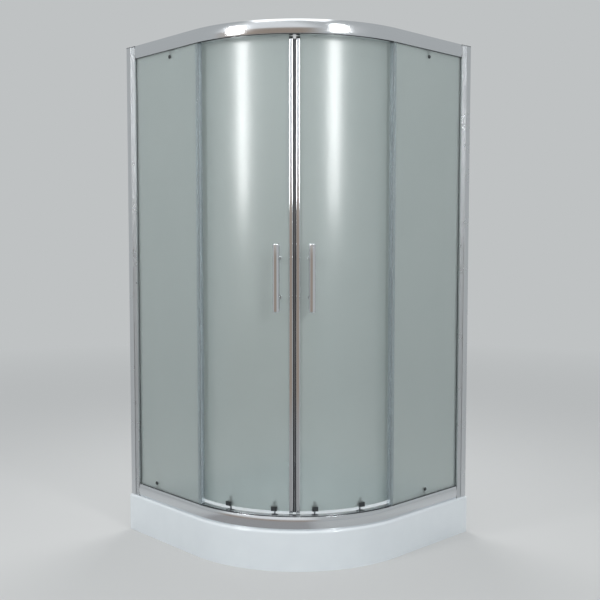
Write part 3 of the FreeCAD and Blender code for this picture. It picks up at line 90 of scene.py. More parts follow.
def addNode(tree, kind, settings=None, links=None):
    made = tree.nodes.new(kind)
    for key, value in (settings or {}).items():
        if isinstance(key, int) or key in made.inputs:
            made.inputs[key].default_value = value
        else:
            setattr(made, key, value)
    for key, source in (links or {}).items():
        tree.links.new(source, made.inputs[key])
    return made


def startMaterial(name, shader):
    material = bpy.data.materials.new(name)
    material.use_nodes = True
    tree = material.node_tree
    tree.nodes.clear()
    surface = addNode(tree, "ShaderNodeBsdfPrincipled", shader)
    addNode(tree, "ShaderNodeOutputMaterial", links={"Surface": surface.outputs["BSDF"]})
    place = addNode(tree, "ShaderNodeTexCoord").outputs["Object"]
    return material, tree, surface, place


# a noise of a real size in millimetres, stretched where the making left streaks
def grain(tree, place, size, stretch=(1, 1, 1), detail=3):
    scaled = addNode(tree, "ShaderNodeMapping", {"Scale": [1000 / size * part for part in stretch]},
                     {"Vector": place})
    return addNode(tree, "ShaderNodeTexNoise", {"Scale": 1, "Detail": detail},
                   {"Vector": scaled.outputs["Vector"]}).outputs["Fac"]


def spread(tree, value, low, high):
    limits = {"From Min": 0.3, "From Max": 0.7, "To Min": low, "To Max": high}
    return addNode(tree, "ShaderNodeMapRange", limits, {"Value": value}).outputs["Result"]


def tint(tree, value, dark, light):
    return addNode(tree, "ShaderNodeMix", {"data_type": "RGBA", 6: linear(dark), 7: linear(light)},
                   {0: value}).outputs[2]


def relief(tree, surface, value, depth):
    bump = addNode(tree, "ShaderNodeBump", {"Strength": 1.0, "Distance": depth}, {"Height": value})
    tree.links.new(bump.outputs["Normal"], surface.inputs["Normal"])


# sanitary acrylic sheet, vacuum formed: deep gloss with a faint long wave from the mould
def acrylicSheet():
    material, tree, surface, place = startMaterial("acrylicSheetVacuumFormed", {
        "Roughness": 0.14, "IOR": 1.49, "Coat Weight": 0.25, "Coat Roughness": 0.06})
    wave = grain(tree, place, 90, detail=2)
    fine = grain(tree, place, 9, detail=4)
    tree.links.new(tint(tree, wave, "#E0E6EA", "#E8EEF1"), surface.inputs["Base Color"])
    tree.links.new(spread(tree, fine, 0.11, 0.19), surface.inputs["Roughness"])
    relief(tree, surface, wave, 0.00025)
    return material


# aluminium extrusion, polished and bright dipped: mirror with faint drawing lines along the bar
def brightAluminium(name, stretch, tone, clear, dull):
    material, tree, surface, place = startMaterial(name, {
        "Metallic": 1.0, "Base Color": linear(tone), "Roughness": clear})
    lines = grain(tree, place, 1.2, stretch, detail=2)
    haze = grain(tree, place, 45, detail=3)
    tree.links.new(spread(tree, haze, clear, dull), surface.inputs["Roughness"])
    relief(tree, surface, lines, 0.000001)
    return material


# aluminium extrusion, satin anodised: soft sheen with lines along the bar
def satinAluminium():
    material, tree, surface, place = startMaterial("aluminiumSatinAnodised", {
        "Metallic": 1.0, "Roughness": 0.3})
    lines = grain(tree, place, 1.5, (1, 1, 0.004), detail=3)
    haze = grain(tree, place, 60, detail=2)
    tree.links.new(tint(tree, lines, "#C8CBCE", "#DDE0E2"), surface.inputs["Base Color"])
    tree.links.new(spread(tree, haze, 0.26, 0.36), surface.inputs["Roughness"])
    relief(tree, surface, lines, 0.000004)
    return material


# brass or zinc, plated with chromium: hard mirror
def chromePlate():
    material, tree, surface, place = startMaterial("chromePlated", {
        "Metallic": 1.0, "Base Color": linear("#D9DCDF"), "Roughness": 0.05})
    haze = grain(tree, place, 25, detail=3)
    tree.links.new(spread(tree, haze, 0.035, 0.09), surface.inputs["Roughness"])
    relief(tree, surface, grain(tree, place, 14, detail=2), 0.000002)
    return material


# toughened glass, etched inside and smooth outside: even satin with a grey-green body and soft highlights
def etchedGlass():
    material, tree, surface, place = startMaterial("glassAcidEtched", {
        "IOR": 1.5, "Roughness": 0.32, "Transmission Weight": 0.76, "Coat Weight": 0.6, "Coat Roughness": 0.2,
        "Coat IOR": 1.5})
    cloud = grain(tree, place, 220, detail=2)
    etch = grain(tree, place, 1.6, detail=4)      # real grit is about 0.05 mm, too fine to show
    tree.links.new(tint(tree, cloud, "#C0CBC9", "#C8D2D0"), surface.inputs["Base Color"])
    tree.links.new(spread(tree, cloud, 0.29, 0.35), surface.inputs["Roughness"])
    relief(tree, surface, etch, 0.00002)
    return material


# soft PVC, extruded clear: bluish lip with lines along its length
def clearPvc():
    material, tree, surface, place = startMaterial("pvcExtrudedClear", {
        "IOR": 1.53, "Roughness": 0.2, "Transmission Weight": 0.88})
    lines = grain(tree, place, 2.5, (1, 1, 0.01), detail=2)
    tree.links.new(tint(tree, lines, "#E2ECF1", "#F0F6F9"), surface.inputs["Base Color"])
    tree.links.new(spread(tree, lines, 0.15, 0.27), surface.inputs["Roughness"])
    relief(tree, surface, lines, 0.00001)
    return material


# moulded or pressed bulk materials: one even colour with the grain of their making
def bulkMaterial(name, dark, light, rough, size, depth, ior=1.5, metallic=0.0, stretch=(1, 1, 1)):
    material, tree, surface, place = startMaterial(name, {
        "IOR": ior, "Metallic": metallic, "Roughness": rough})
    pattern = grain(tree, place, size, stretch, detail=4)
    tree.links.new(tint(tree, pattern, dark, light), surface.inputs["Base Color"])
    tree.links.new(spread(tree, pattern, rough - 0.05, rough + 0.07), surface.inputs["Roughness"])
    relief(tree, surface, pattern, depth)
    return material


finishes = {
    "white_acrylic": acrylicSheet(),
    "base_board": bulkMaterial("chipboardPressed", "#8C7350", "#B59B72", 0.8, 3.5, 0.0003),
    "foot_rubber": bulkMaterial("rubberMouldedBlack", "#17181A", "#242527", 0.7, 1.5, 0.00005, 1.52),
    "gasket_rubber": bulkMaterial("rubberExtrudedGrey", "#33363A", "#45484C", 0.55, 2, 0.00004, 1.52,
                                  stretch=(1, 1, 0.02)),
    "zinc_steel": bulkMaterial("steelZincPlated", "#9FA3A6", "#BDC1C4", 0.28, 1.2, 0.00001, metallic=1.0),
    "stainless_steel": bulkMaterial("stainlessSteelBrushed", "#A4A6A8", "#C3C5C7", 0.26, 0.8, 0.00001,
                                    metallic=1.0, stretch=(1, 1, 0.02)),
    "spring_steel": bulkMaterial("springSteelDrawn", "#7C7E80", "#9A9C9E", 0.3, 1, 0.00001, metallic=1.0),
    "chrome_rail": brightAluminium("aluminiumPolishedBent", (0.02, 0.02, 1), "#D6D9DC", 0.11, 0.17),
    "closing_bar": brightAluminium("aluminiumPolishedStraight", (1, 1, 0.004), "#D9DBDE", 0.05, 0.11),
    "chrome_fitting": chromePlate(),
    "satin_aluminium": satinAluminium(),
    "frosted_glass": etchedGlass(),
    "clear_seal": clearPvc(),
    "magnet_strip": bulkMaterial("magnetRubberExtruded", "#2B2C30", "#3A3B3F", 0.45, 2, 0.00003, 1.52,
                                 stretch=(1, 1, 0.02)),
    "dark_plastic": bulkMaterial("absMouldedBlack", "#25292B", "#34393B", 0.42, 0.9, 0.00002, 1.53),
    "grey_plastic": bulkMaterial("absMouldedGrey", "#5E6164", "#6E7174", 0.4, 0.9, 0.00002, 1.53),
    "nylon": bulkMaterial("nylonTurned", "#DAD9D2", "#E6E5DF", 0.42, 0.8, 0.00001, 1.53),
    "trap_plastic": bulkMaterial("polypropyleneMoulded", "#C9C9C6", "#D6D6D3", 0.45, 2, 0.00003),
}
print("materials: %d" % len(finishes))


# a finished mesh becomes a piece that stands for one CAD node, or for none
def makePiece(name, mesh, node, finish=None, standsFor=True):
    piece = bpy.data.objects.new(name, mesh)
    bpy.context.scene.collection.objects.link(piece)
    mesh.materials.clear()
    mesh.materials.append(finishes[finish or slotOf(node)])
    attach(piece, bodyOf(node))
    if standsFor:
        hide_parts(node)
    return piece


def toMesh(name, work):
    bmesh.ops.remove_doubles(work, verts=work.verts, dist=1e-6)
    bmesh.ops.recalc_face_normals(work, faces=work.faces)
    work.normal_update()
    for face in work.faces:
        face.smooth = True
    for edge in work.edges:
        if len(edge.link_faces) == 2 and edge.calc_face_angle(0) > math.radians(plan["smoothAngle"]):
            edge.smooth = False
    mesh = bpy.data.meshes.new(name)
    work.to_mesh(mesh)
    work.free()
    return mesh


def turnTo(side):
    # the right half mirrors the left one: (x, y) becomes (-y, -x)
    if side == "left":
        return Matrix.Identity(4)
    return Matrix(((0, -1, 0, 0), (-1, 0, 0, 0), (0, 0, 1, 0), (0, 0, 0, 1)))


def picked(result, kind):
    return [part for part in result["geom"] if isinstance(part, kind)]


# a closed outline of (x, y) points, drawn up between two heights
def upright(points, low, high):
    work = bmesh.new()
    foot = work.faces.new([work.verts.new((x, y, low)) for x, y in points])
    risen = bmesh.ops.extrude_face_region(work, geom=[foot])
    bmesh.ops.translate(work, verts=picked(risen, bmesh.types.BMVert), vec=(0, 0, high - low))
    return work


def roundEdges(work, chosen, width, steps):
    bmesh.ops.bevel(work, geom=chosen, offset=width, offset_type="OFFSET", segments=steps, profile=0.5,
                    affect="EDGES", material=-1, clamp_overlap=True)


def rounded(piece, width, segments, angle):
    edge = piece.modifiers.new("edgeRound", "BEVEL")
    edge.width = width
    edge.segments = segments
    edge.limit_method = "ANGLE"
    edge.angle_limit = math.radians(angle)
    edge.harden_normals = True


def flatPlace(run, inset):
    return run - plan["half"], inset - plan["half"]


# the pieces that keep their CAD shape: merged, with a small worked edge
refine = {"merge": 1e-6, "flat": 0.6, "edge": 0.0004, "edgeAngle": 35}


def refinedNode(node):
    work = bmesh.new()
    work.from_mesh(frame["nodes"][node].data)
    bmesh.ops.remove_doubles(work, verts=work.verts, dist=refine["merge"])
    bmesh.ops.dissolve_limit(work, angle_limit=math.radians(refine["flat"]), verts=work.verts,
                             edges=work.edges, use_dissolve_boundaries=False)
    piece = makePiece(node + "_worn", toMesh(node + "_worn", work), node)
    worn = piece.modifiers.new("wornEdge", "BEVEL")
    worn.width = refine["edge"]
    worn.segments = 2
    worn.limit_method = "ANGLE"
    worn.angle_limit = math.radians(refine["edgeAngle"])
    worn.harden_normals = True
    return piece


# tray: rings from the skirt's foot over the ledge into the basin, out through the waste hole and
# back along the underside. A ring is (front inset, back inset, corner radius, height).
tray = {
    "height": 0.150, "wall": 0.005, "rim": 0.082, "wallRim": 0.062, "edgeRound": 0.009,
    "basinFloor": 0.102, "basinCorner": 0.075, "basinRound": 0.014, "lipRound": 0.006,
    "roundSteps": 8, "cornerSteps": 10, "sharp": 0.0015,
    "waste": (-0.21, 0.21), "wasteRadius": 0.043, "wallLip": 0.045, "wallPlay": 0.0002,
    "endPlay": 0.0003, "endStep": 0.0005,
}


def quarter(work, centre, start, height, steps):
    first = work.verts.new((start[0], start[1], height))
    bmesh.ops.spin(work, geom=[first], cent=(centre[0], centre[1], height), axis=(0, 0, 1),
                   angle=math.radians(90), steps=steps)
    chain = [first]
    onward = True
    while onward:
        onward = [edge.other_vert(chain[-1]) for edge in chain[-1].link_edges]
        onward = [corner for corner in onward if corner not in chain[-2:]]
        chain += onward
    return chain


def trayRing(work, inset, wall, corner, height):
    half = plan["half"]
    corner = max(corner, tray["sharp"])
    skirtEnd = max(corner, tray["wall"] - wall) + tray["endPlay"]     # a front skirt stops here
    left, back = wall - half, half - wall
    front, right = inset - half, half - inset
    steps = tray["cornerSteps"]
    chains = [
        quarter(work, bowCentre, (bowCentre.x, front), height, plan["bowSteps"]),
        quarter(work, (right - corner, back - corner), (right, back - corner), height, steps),
        [work.verts.new((right - skirtEnd - extra, back, height)) for extra in (0, tray["endStep"])],
        quarter(work, (left + corner, back - corner), (left + corner, back), height, steps),
        [work.verts.new((left, front + skirtEnd + extra, height)) for extra in (tray["endStep"], 0)],
        quarter(work, (left + corner, front + corner), (left, front + corner), height, steps)]
    loop = []
    for chain in chains:
        if len(chain) == 2:
            work.edges.new(chain)
        if loop:
            work.edges.new((loop[-1], chain[0]))
        loop += chain
    work.edges.new((loop[-1], loop[0]))
    return loop


def holeRing(work, outer, height):
    loop = []
    for corner in outer:
        reach = Vector((corner.co.x - tray["waste"][0], corner.co.y - tray["waste"][1], 0)).normalized()
        place = reach * tray["wasteRadius"] + Vector((*tray["waste"], height))
        loop.append(work.verts.new(place))
    return loop


def joinRings(work, near, far):
    # rings of one family have matching corners, so each pair is joined corner to corner
    for here, ahead, aheadFar, hereFar in zip(near, near[1:] + near[:1], far[1:] + far[:1], far):
        work.faces.new((here, ahead, aheadFar, hereFar))


def buildTray():
    t = tray
    skin = t["wall"]
    steps = t["roundSteps"]
    turns = [math.pi / 2 * step / steps for step in range(steps + 1)]
    rows = [(0, 0, 0, 0.0)]
    for turn in turns:      # rolled front edge
        back = t["edgeRound"] * (1 - math.cos(turn))
        rows.append((back, t["wallPlay"], 0, t["height"] - t["edgeRound"] * (1 - math.sin(turn))))
    for turn in turns:      # lip into the basin
        go = t["lipRound"] * (math.sin(turn) - 1)
        rows.append((t["rim"] + go, t["wallRim"] + go, t["basinCorner"] - go,
                     t["height"] - t["lipRound"] * (1 - math.cos(turn))))
    for turn in turns:      # basin side into its floor
        go = t["basinRound"] * (1 - math.cos(turn))
        rows.append((t["rim"] + go, t["wallRim"] + go, t["basinCorner"] - go,
                     t["basinFloor"] + t["basinRound"] * (1 - math.sin(turn))))
    under = [
        (t["rim"] + skin, t["wallRim"] + skin, t["basinCorner"], t["basinFloor"] - skin),
        (t["rim"] - skin, t["wallRim"] - skin, t["basinCorner"] + skin, t["basinFloor"] + skin),
        (t["rim"] - skin, t["wallRim"] - skin, t["basinCorner"] + skin, t["height"] - skin),
        (skin, skin, 0, t["height"] - skin),
        (skin, skin, 0, 0.0)]
    work = bmesh.new()
    loops = [trayRing(work, *row) for row in rows]
    loops.append(holeRing(work, loops[-1], t["basinFloor"]))
    loops.append(holeRing(work, loops[-2], t["basinFloor"] - skin))
    loops += [trayRing(work, *row) for row in under]
    loops.append(loops[0])
    for near, far in zip(loops, loops[1:]):
        joinRings(work, near, far)
    first = plan["bowSteps"] + 1 + t["cornerSteps"] + 1 + 1
    for foot in (loops[0], loops[-2]):      # along the back edges the skirt ends high
        for corner in foot[first:first + t["cornerSteps"] + 3]:
            corner.co.z = t["height"] - t["wallLip"]
    return makePiece("trayShell", toMesh("trayShell", work), "shower_tray")


buildTray()
print("tray built")


# rails: the section in (inset, height) points, height counted from the glass side
rail = {
    "start": 0.058, "inset": 0.012, "crown": 0.004, "depth": 0.040, "height": 0.050, "skin": 0.002,
    "slotDepth": 0.014, "slotIn": 0.0275, "return": 0.008, "lip": 0.003, "crownSteps": 12,
    "edge": 0.0007, "topFoot": 1.950, "bottomFoot": 0.200,
}


def crownPoints(inset, low, high, rise, steps):
    half = (high - low) / 2
    radius = half * half / (2 * rise) + rise / 2
    middle = (low + high) / 2
    points = []
    for step in range(steps + 1):
        height = low + (high - low) * step / steps
        across = math.sqrt(radius * radius - (height - middle) ** 2) - (radius - rise)
        points.append((inset - across, height))
    return points


def railSection():
    r = rail
    back = r["inset"] + r["depth"]
    slotOut = r["inset"] + r["skin"]
    lane = r["slotIn"] + r["skin"]
    top = r["height"] - r["skin"]
    web = r["slotDepth"] + r["skin"]
    points = crownPoints(r["inset"], 0, r["height"], r["crown"], r["crownSteps"])
    lip = r["height"] - r["return"]
    points += [(back, r["height"]), (back, lip), (back - r["skin"], lip), (back - r["skin"], top)]
    points += crownPoints(slotOut, web, top, r["crown"] * 0.6, r["crownSteps"])[::-1]
    points += [(lane, web), (lane, r["skin"]), (back - r["skin"], r["skin"]),
               (back - r["skin"], r["skin"] + r["lip"]), (back, r["skin"] + r["lip"]), (back, 0),
               (r["slotIn"], 0), (r["slotIn"], r["slotDepth"]), (slotOut, r["slotDepth"]), (slotOut, 0)]
    return points


def buildRail(node, foot, up):
    work = bmesh.new()
    start = flatPlace(rail["start"], 0)[0]
    corners = [work.verts.new((start, inset - plan["half"], foot + height * up))
               for inset, height in railSection()]
    loop = [work.edges.new((near, far)) for near, far in zip(corners, corners[1:] + corners[:1])]
    work.faces.new(corners)
    ahead = bmesh.ops.extrude_edge_only(work, edges=loop)
    bmesh.ops.translate(work, verts=picked(ahead, bmesh.types.BMVert), vec=(bowCentre.x - start, 0, 0))
    bent = bmesh.ops.spin(work, geom=picked(ahead, bmesh.types.BMEdge), cent=bowCentre, axis=(0, 0, 1),
                          angle=math.radians(90), steps=plan["bowSteps"])
    last = [part for part in bent["geom_last"] if isinstance(part, bmesh.types.BMEdge)]
    onward = bmesh.ops.extrude_edge_only(work, edges=last)
    bmesh.ops.translate(work, verts=picked(onward, bmesh.types.BMVert), vec=(0, -start - bowCentre.y, 0))
    bmesh.ops.contextual_create(work, geom=picked(onward, bmesh.types.BMEdge))
    piece = makePiece(node + "_bent", toMesh(node + "_bent", work), node)
    rounded(piece, rail["edge"], 2, plan["roundAngle"])


buildRail("top_rail", rail["topFoot"], 1)
buildRail("bottom_rail", rail["bottomFoot"], -1)
print("rails built")


# an upright bar with rounded edges, drawn on the left side and mirrored for the right
def uprightBar(name, side, outline, low, high, node, edge, segments=2):
    work = upright(outline, low, high)
    bmesh.ops.transform(work, matrix=turnTo(side), verts=work.verts)
    piece = makePiece(name, toMesh(name, work), node)
    rounded(piece, edge, segments, plan["roundAngle"])
    return piece


wallBars = {
    "low": 0.150, "high": 1.997, "inset": 0.008, "width": 0.026, "depth": 0.030, "skin": 0.0018,
    "play": 0.0003, "postBack": 0.008, "postFront": 0.055, "rib": 0.001, "ribs": 3, "groove": 0.013,
    "grooveLow": 0.0175, "grooveHigh": 0.0275, "edge": 0.0006,
}


def buildWallBars(side):
    w = wallBars
    far = w["inset"] + w["width"]
    near = w["inset"] + w["skin"]
    channel = [(0, w["inset"]), (w["depth"], w["inset"]), (w["depth"], near), (w["skin"], near),
               (w["skin"], far - w["skin"]), (w["depth"], far - w["skin"]), (w["depth"], far), (0, far)]
    uprightBar("wallChannel_" + side, side, [flatPlace(*p) for p in channel], w["low"], w["high"],
               "wall_profile_" + side, w["edge"], 3)
    outer = near + w["play"]
    inner = far - w["skin"] - w["play"]
    step = (w["postFront"] - w["depth"]) / (w["ribs"] * 2 + 1)
    post = [(w["postBack"], outer)]
    for number in range(w["ribs"]):
        start = w["depth"] + step * (2 * number + 1)
        post += [(start, outer), (start, outer + w["rib"])]
        post += [(start + step, outer + w["rib"]), (start + step, outer)]
    run = w["postFront"] - w["groove"]
    web = run - w["skin"]
    deep = outer + w["skin"] + w["rib"]
    post += [(w["postFront"], outer), (w["postFront"], w["grooveLow"]), (run, w["grooveLow"]),
             (run, w["grooveHigh"]), (w["postFront"], w["grooveHigh"]), (w["postFront"], inner),
             (w["postBack"], inner), (w["postBack"], inner - w["skin"]), (web, inner - w["skin"]),
             (web, deep), (w["postBack"], deep)]
    uprightBar("sidePost_" + side, side, [flatPlace(*p) for p in post], w["low"], w["high"],
               "side_post_" + side, w["edge"] * 0.6)


# glass: polished edges, a little rounded
pane = {
    "start": 0.044, "end": 0.460, "inset": 0.020, "low": 0.188, "high": 1.962, "edge": 0.0006,
    "doorLow": 0.208, "doorHigh": 1.985, "doorRear": -3.291, "doorShut": 43.672, "doorSteps": 48,
}


def buildFixedPane(side):
    p = pane
    inner = p["inset"] + plan["glass"]
    outline = [flatPlace(*q) for q in ((p["start"], p["inset"]), (p["end"], p["inset"]), (p["end"], inner),
                                       (p["start"], inner))]
    uprightBar("fixedPane_" + side, side, outline, p["low"], p["high"], "fixed_glass_" + side, p["edge"], 3)


def buildDoorPane(side):
    p = pane
    reach = plan["bowRadius"] - plan["doorInset"]
    work = bmesh.new()
    corners = []
    for out, height in ((reach, p["doorLow"]), (reach, p["doorHigh"]), (reach - plan["glass"], p["doorHigh"]),
                        (reach - plan["glass"], p["doorLow"])):
        corners.append(work.verts.new((bowCentre.x + out, bowCentre.y, height)))
    first = work.faces.new(corners)
    bmesh.ops.rotate(work, cent=bowCentre, matrix=Matrix.Rotation(math.radians(p["doorRear"] - 90), 3, "Z"),
                     verts=work.verts)
    edges = list(first.edges)
    swept = bmesh.ops.spin(work, geom=edges, cent=bowCentre, axis=(0, 0, 1),
                           angle=math.radians(p["doorShut"] - p["doorRear"]), steps=p["doorSteps"])
    last = [part for part in swept["geom_last"] if isinstance(part, bmesh.types.BMEdge)]
    bmesh.ops.contextual_create(work, geom=last)
    bmesh.ops.transform(work, matrix=turnTo(side), verts=work.verts)
    name = side + "DoorPane"
    piece = makePiece(name, toMesh(name, work), side + "_door_glass")
    rounded(piece, p["edge"], 3, plan["roundAngle"])


for side in sides:
    buildWallBars(side)
    buildFixedPane(side)
    buildDoorPane(side)
print("posts and panes built")


# closing bars, magnet strips and seals, drawn in (outwards from the glass, back from the middle)
closing = {
    "low": 0.205, "high": 1.940, "face": 0.0053, "back": 0.0203, "deep": 0.010, "round": 0.004,
    "slotIn": -0.003306, "slotOut": 0.002794, "slotEnd": 0.011, "tongue": 0.003, "tongueDeep": 0.003,
    "magnetFront": 0.0003, "magnetHalf": 0.006, "magnetEdge": 0.0006, "tonguePlay": 0.0001, "edge": 0.0004,
    "grip": 0.010, "lipGap": 0.0003, "lip": 0.0012, "fin": 0.014, "sealEnd": 0.001,
}
glassMiddle = plan["bowRadius"] - plan["doorInset"] - plan["glass"] / 2


def onBow(angle):
    # local X points outwards at an angle along the left half of the bow
    return Matrix.Translation(bowCentre) @ Matrix.Rotation(math.radians(angle - 90), 4, "Z")


def bowBar(name, side, angle, outline, low, high, node, corners=None, edge=closing["edge"],
           finish=None):
    work = upright([(glassMiddle + out, -back) for out, back in outline], low, high)
    if corners:
        chosen = [e for e in work.edges if abs(e.verts[0].co.z - e.verts[1].co.z) > 0.1
                  and (abs(e.verts[0].co.x - glassMiddle) > closing["deep"] - 1e-5)]
        roundEdges(work, chosen, corners, 6)
    bmesh.ops.transform(work, matrix=turnTo(side) @ onBow(angle), verts=work.verts)
    piece = makePiece(name, toMesh(name, work), node, finish)
    rounded(piece, edge, 2, plan["sealAngle"])
    return piece


def buildClosing(side):
    c = closing
    deep, face, back = c["deep"], c["face"], c["back"]
    bar = [(deep, back), (deep, face), (c["tongue"], face), (c["tongue"], face + c["tongueDeep"]),
           (-c["tongue"], face + c["tongueDeep"]), (-c["tongue"], face), (-deep, face), (-deep, back),
           (c["slotIn"], back), (c["slotIn"], c["slotEnd"]), (c["slotOut"], c["slotEnd"]),
           (c["slotOut"], back)]
    bowBar(side + "ClosingBar", side, 45, bar, c["low"], c["high"], side + "_closing_profile", c["round"],
           finish="closing_bar")
    wide, tongue = c["magnetHalf"], c["tongue"] - c["tonguePlay"]
    end = face + c["tongueDeep"] - c["tonguePlay"]
    strip = [(wide, face), (wide, c["magnetFront"]), (-wide, c["magnetFront"]), (-wide, face),
             (-tongue, face), (-tongue, end), (tongue, end), (tongue, face)]
    bowBar(side + "MagnetStrip", side, 45, strip, c["low"], c["high"], side + "_magnet_seal",
           edge=c["magnetEdge"])


def buildSeals(side):
    c = closing
    inner = plan["glass"] / 2 + c["lipGap"]
    outer = inner + c["lip"]
    rear = [(-outer, -c["grip"]), (-inner, -c["grip"]), (-inner, c["lipGap"]), (inner, c["lipGap"]),
            (inner, -c["grip"]), (outer, -c["grip"]), (outer, c["lipGap"]), (outer + c["fin"], c["lipGap"]),
            (outer + c["fin"], c["lipGap"] + c["lip"]), (-outer, c["lipGap"] + c["lip"])]
    bowBar(side + "RearSeal", side, pane["doorRear"], rear, pane["doorLow"], rail["topFoot"] - c["sealEnd"],
           side + "_rear_seal")
    low = pane["inset"] - c["lipGap"]
    high = pane["inset"] + plan["glass"] + c["lipGap"]
    inside = pane["end"] + c["lipGap"]
    outside = inside + c["lip"]
    fin = high + c["lip"] + c["fin"]
    tip = pane["end"] - c["grip"]
    return [(tip, low - c["lip"]), (outside, low - c["lip"]), (outside, fin), (inside, fin),
            (inside, high + c["lip"]), (tip, high + c["lip"]), (tip, high), (inside, high), (inside, low),
            (tip, low)]


def buildEdgeSeals(outline):
    work = bmesh.new()
    for side in sides:
        one = upright([flatPlace(*p) for p in outline], rail["bottomFoot"] + closing["sealEnd"],
                      rail["topFoot"] - closing["sealEnd"])
        bmesh.ops.transform(one, matrix=turnTo(side), verts=one.verts)
        joinInto(work, one)
    piece = makePiece("paneEdgeSeals", toMesh("paneEdgeSeals", work), "edge_seals")
    rounded(piece, closing["edge"], 2, plan["sealAngle"])


def joinInto(work, other):
    mesh = bpy.data.meshes.new("passing")
    other.to_mesh(mesh)
    other.free()
    work.from_mesh(mesh)
    bpy.data.meshes.remove(mesh)


for side in sides:
    buildClosing(side)
    sealOutline = buildSeals(side)
buildEdgeSeals(sealOutline)
print("closing bars and seals built")


# a round piece from (radius, height) points, turned once round Z and then placed
def turnedShape(points, place, steps=48):
    work = bmesh.new()
    corners = [work.verts.new((radius, 0, height)) for radius, height in points]
    chain = [work.edges.new(pair) for pair in zip(corners, corners[1:])]
    bmesh.ops.spin(work, geom=chain, cent=(0, 0, 0), axis=(0, 0, 1), angle=math.tau, steps=steps,
                   use_merge=True)
    bmesh.ops.transform(work, matrix=place, verts=work.verts)
    return work


def softCorner(points, radius, steps=5):
    # rounds each inner corner of a polyline of (radius, height) points
    eased = [points[0]]
    for before, corner, after in zip(points, points[1:], points[2:]):
        here = Vector(corner)
        toBefore, toAfter = Vector(before) - here, Vector(after) - here
        reach = min(radius, toBefore.length * 0.48, toAfter.length * 0.48)
        start = here + toBefore.normalized() * reach
        end = here + toAfter.normalized() * reach
        for step in range(steps + 1):
            t = step / steps
            eased.append(tuple((1 - t) ** 2 * start + 2 * t * (1 - t) * here + t * t * end))
    return eased + [points[-1]]


grip = {
    "angle": 38, "radius": 0.013, "length": 0.250, "height": 1.080, "spacing": 0.145, "reach": 0.049,
    "postRadius": 0.007, "endRound": 0.0045, "rosetteRadius": 0.011, "rosetteHeight": 0.004, "edge": 0.0012,
    "glassGap": 0.0003, "postShort": 0.001,
}


def outwardsAt(angle, reach, height):
    # local Z points away from the bow's centre
    return (Matrix.Translation((0, 0, height)) @ onBow(angle) @ Matrix.Translation((reach, 0, 0))
            @ Matrix.Rotation(math.radians(90), 4, "Y"))


def buildHandle(side):
    g = grip
    glassFace = plan["bowRadius"] - plan["doorInset"]
    low = g["height"] - g["length"] / 2
    post = g["reach"] - g["postShort"]
    outline = [(0, 0), (g["radius"], 0), (g["radius"], g["length"]), (0, g["length"])]
    bar = softCorner(outline, g["endRound"], 8)
    out = Matrix.Translation((glassFace + g["reach"], 0, 0))
    place = Matrix.Translation((0, 0, low)) @ onBow(g["angle"]) @ out
    work = turnedShape(bar, place, 64)
    for height in (g["height"] - g["spacing"] / 2, g["height"] + g["spacing"] / 2):
        foot = softCorner([(0, 0), (g["rosetteRadius"], 0), (g["rosetteRadius"], g["rosetteHeight"]),
                           (g["postRadius"], g["rosetteHeight"]), (g["postRadius"], post), (0, post)],
                          g["edge"])
        joinInto(work, turnedShape(foot, outwardsAt(g["angle"], glassFace + g["glassGap"], height)))
    bmesh.ops.transform(work, matrix=turnTo(side), verts=work.verts)
    makePiece(side + "BarHandle", toMesh(side + "BarHandle", work), side + "_handle")


for side in sides:
    buildHandle(side)
print("handles built")


waste = {"ring": 0.056, "ringHeight": 0.003, "clear": 0.038, "tube": 0.003, "tubeLength": 0.043,
         "cover": 0.052, "coverEdge": 0.002, "dome": 0.007, "seat": 0.0033, "skirt": 0.036,
         "chamfer": 0.002, "coverSkin": 0.002, "coverRoof": 0.004, "skirtDrop": 0.008, "soft": 0.0008,
         "turnSteps": 64, "domeSteps": 12}


def buildWaste():
    w = waste
    place = Matrix.Translation((*tray["waste"], tray["basinFloor"]))
    tube = w["clear"] + w["tube"]
    ring = [(w["clear"], -w["tubeLength"]), (tube, -w["tubeLength"]), (tube, 0),
            (w["ring"], 0), (w["ring"] - w["chamfer"], w["ringHeight"]), (w["clear"], w["ringHeight"]),
            (w["clear"], -w["tubeLength"])]
    turned = turnedShape(softCorner(ring, w["soft"], 3), place, w["turnSteps"])
    makePiece("wasteRing", toMesh("wasteRing", turned), "waste_ring")
    radius = w["cover"] ** 2 / (2 * w["dome"]) + w["dome"] / 2
    top = w["seat"] + w["coverEdge"] + w["dome"]
    crown = []
    for step in range(w["domeSteps"] + 1):
        across = w["cover"] * (1 - step / w["domeSteps"])
        crown.append((across, top - radius + math.sqrt(radius * radius - across * across)))
    roof = w["seat"] + w["coverRoof"]
    inner = w["skirt"] - w["coverSkin"]
    cover = [(0, roof), (inner, roof), (inner, -w["skirtDrop"]), (w["skirt"], -w["skirtDrop"]),
             (w["skirt"], w["seat"]), (w["cover"], w["seat"])] + crown
    makePiece("wasteCover", toMesh("wasteCover", turnedShape(cover, place, w["turnSteps"])), "waste_cover")


buildWaste()
print("waste built")


def middleOf(node):
    low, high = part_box(node)
    return (Vector(low) + Vector(high)) / 2


def buildSprings(side):
    node = side + "_release_springs"
    stems = {end: middleOf(side + "_" + end + "_guide_stem") for end in ("rear", "front")}
    for end, stem in stems.items():
        other = stems["front" if end == "rear" else "rear"]
        work = bmesh.new()
        work.from_mesh(frame["nodes"][node].data)
        away = [corner for corner in work.verts if (corner.co - other).length < (corner.co - stem).length]
        bmesh.ops.delete(work, geom=away, context="VERTS")
        name = side + end.capitalize() + "Spring"
        piece = makePiece(name, toMesh(name, work), node)
        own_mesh(piece)


for side in sides:
    buildSprings(side)
print("springs built")

for node in sorted(frame["nodes"]):
    if not frame["nodes"][node].hide_render:
        refinedNode(node)
print("carried-over nodes finished")


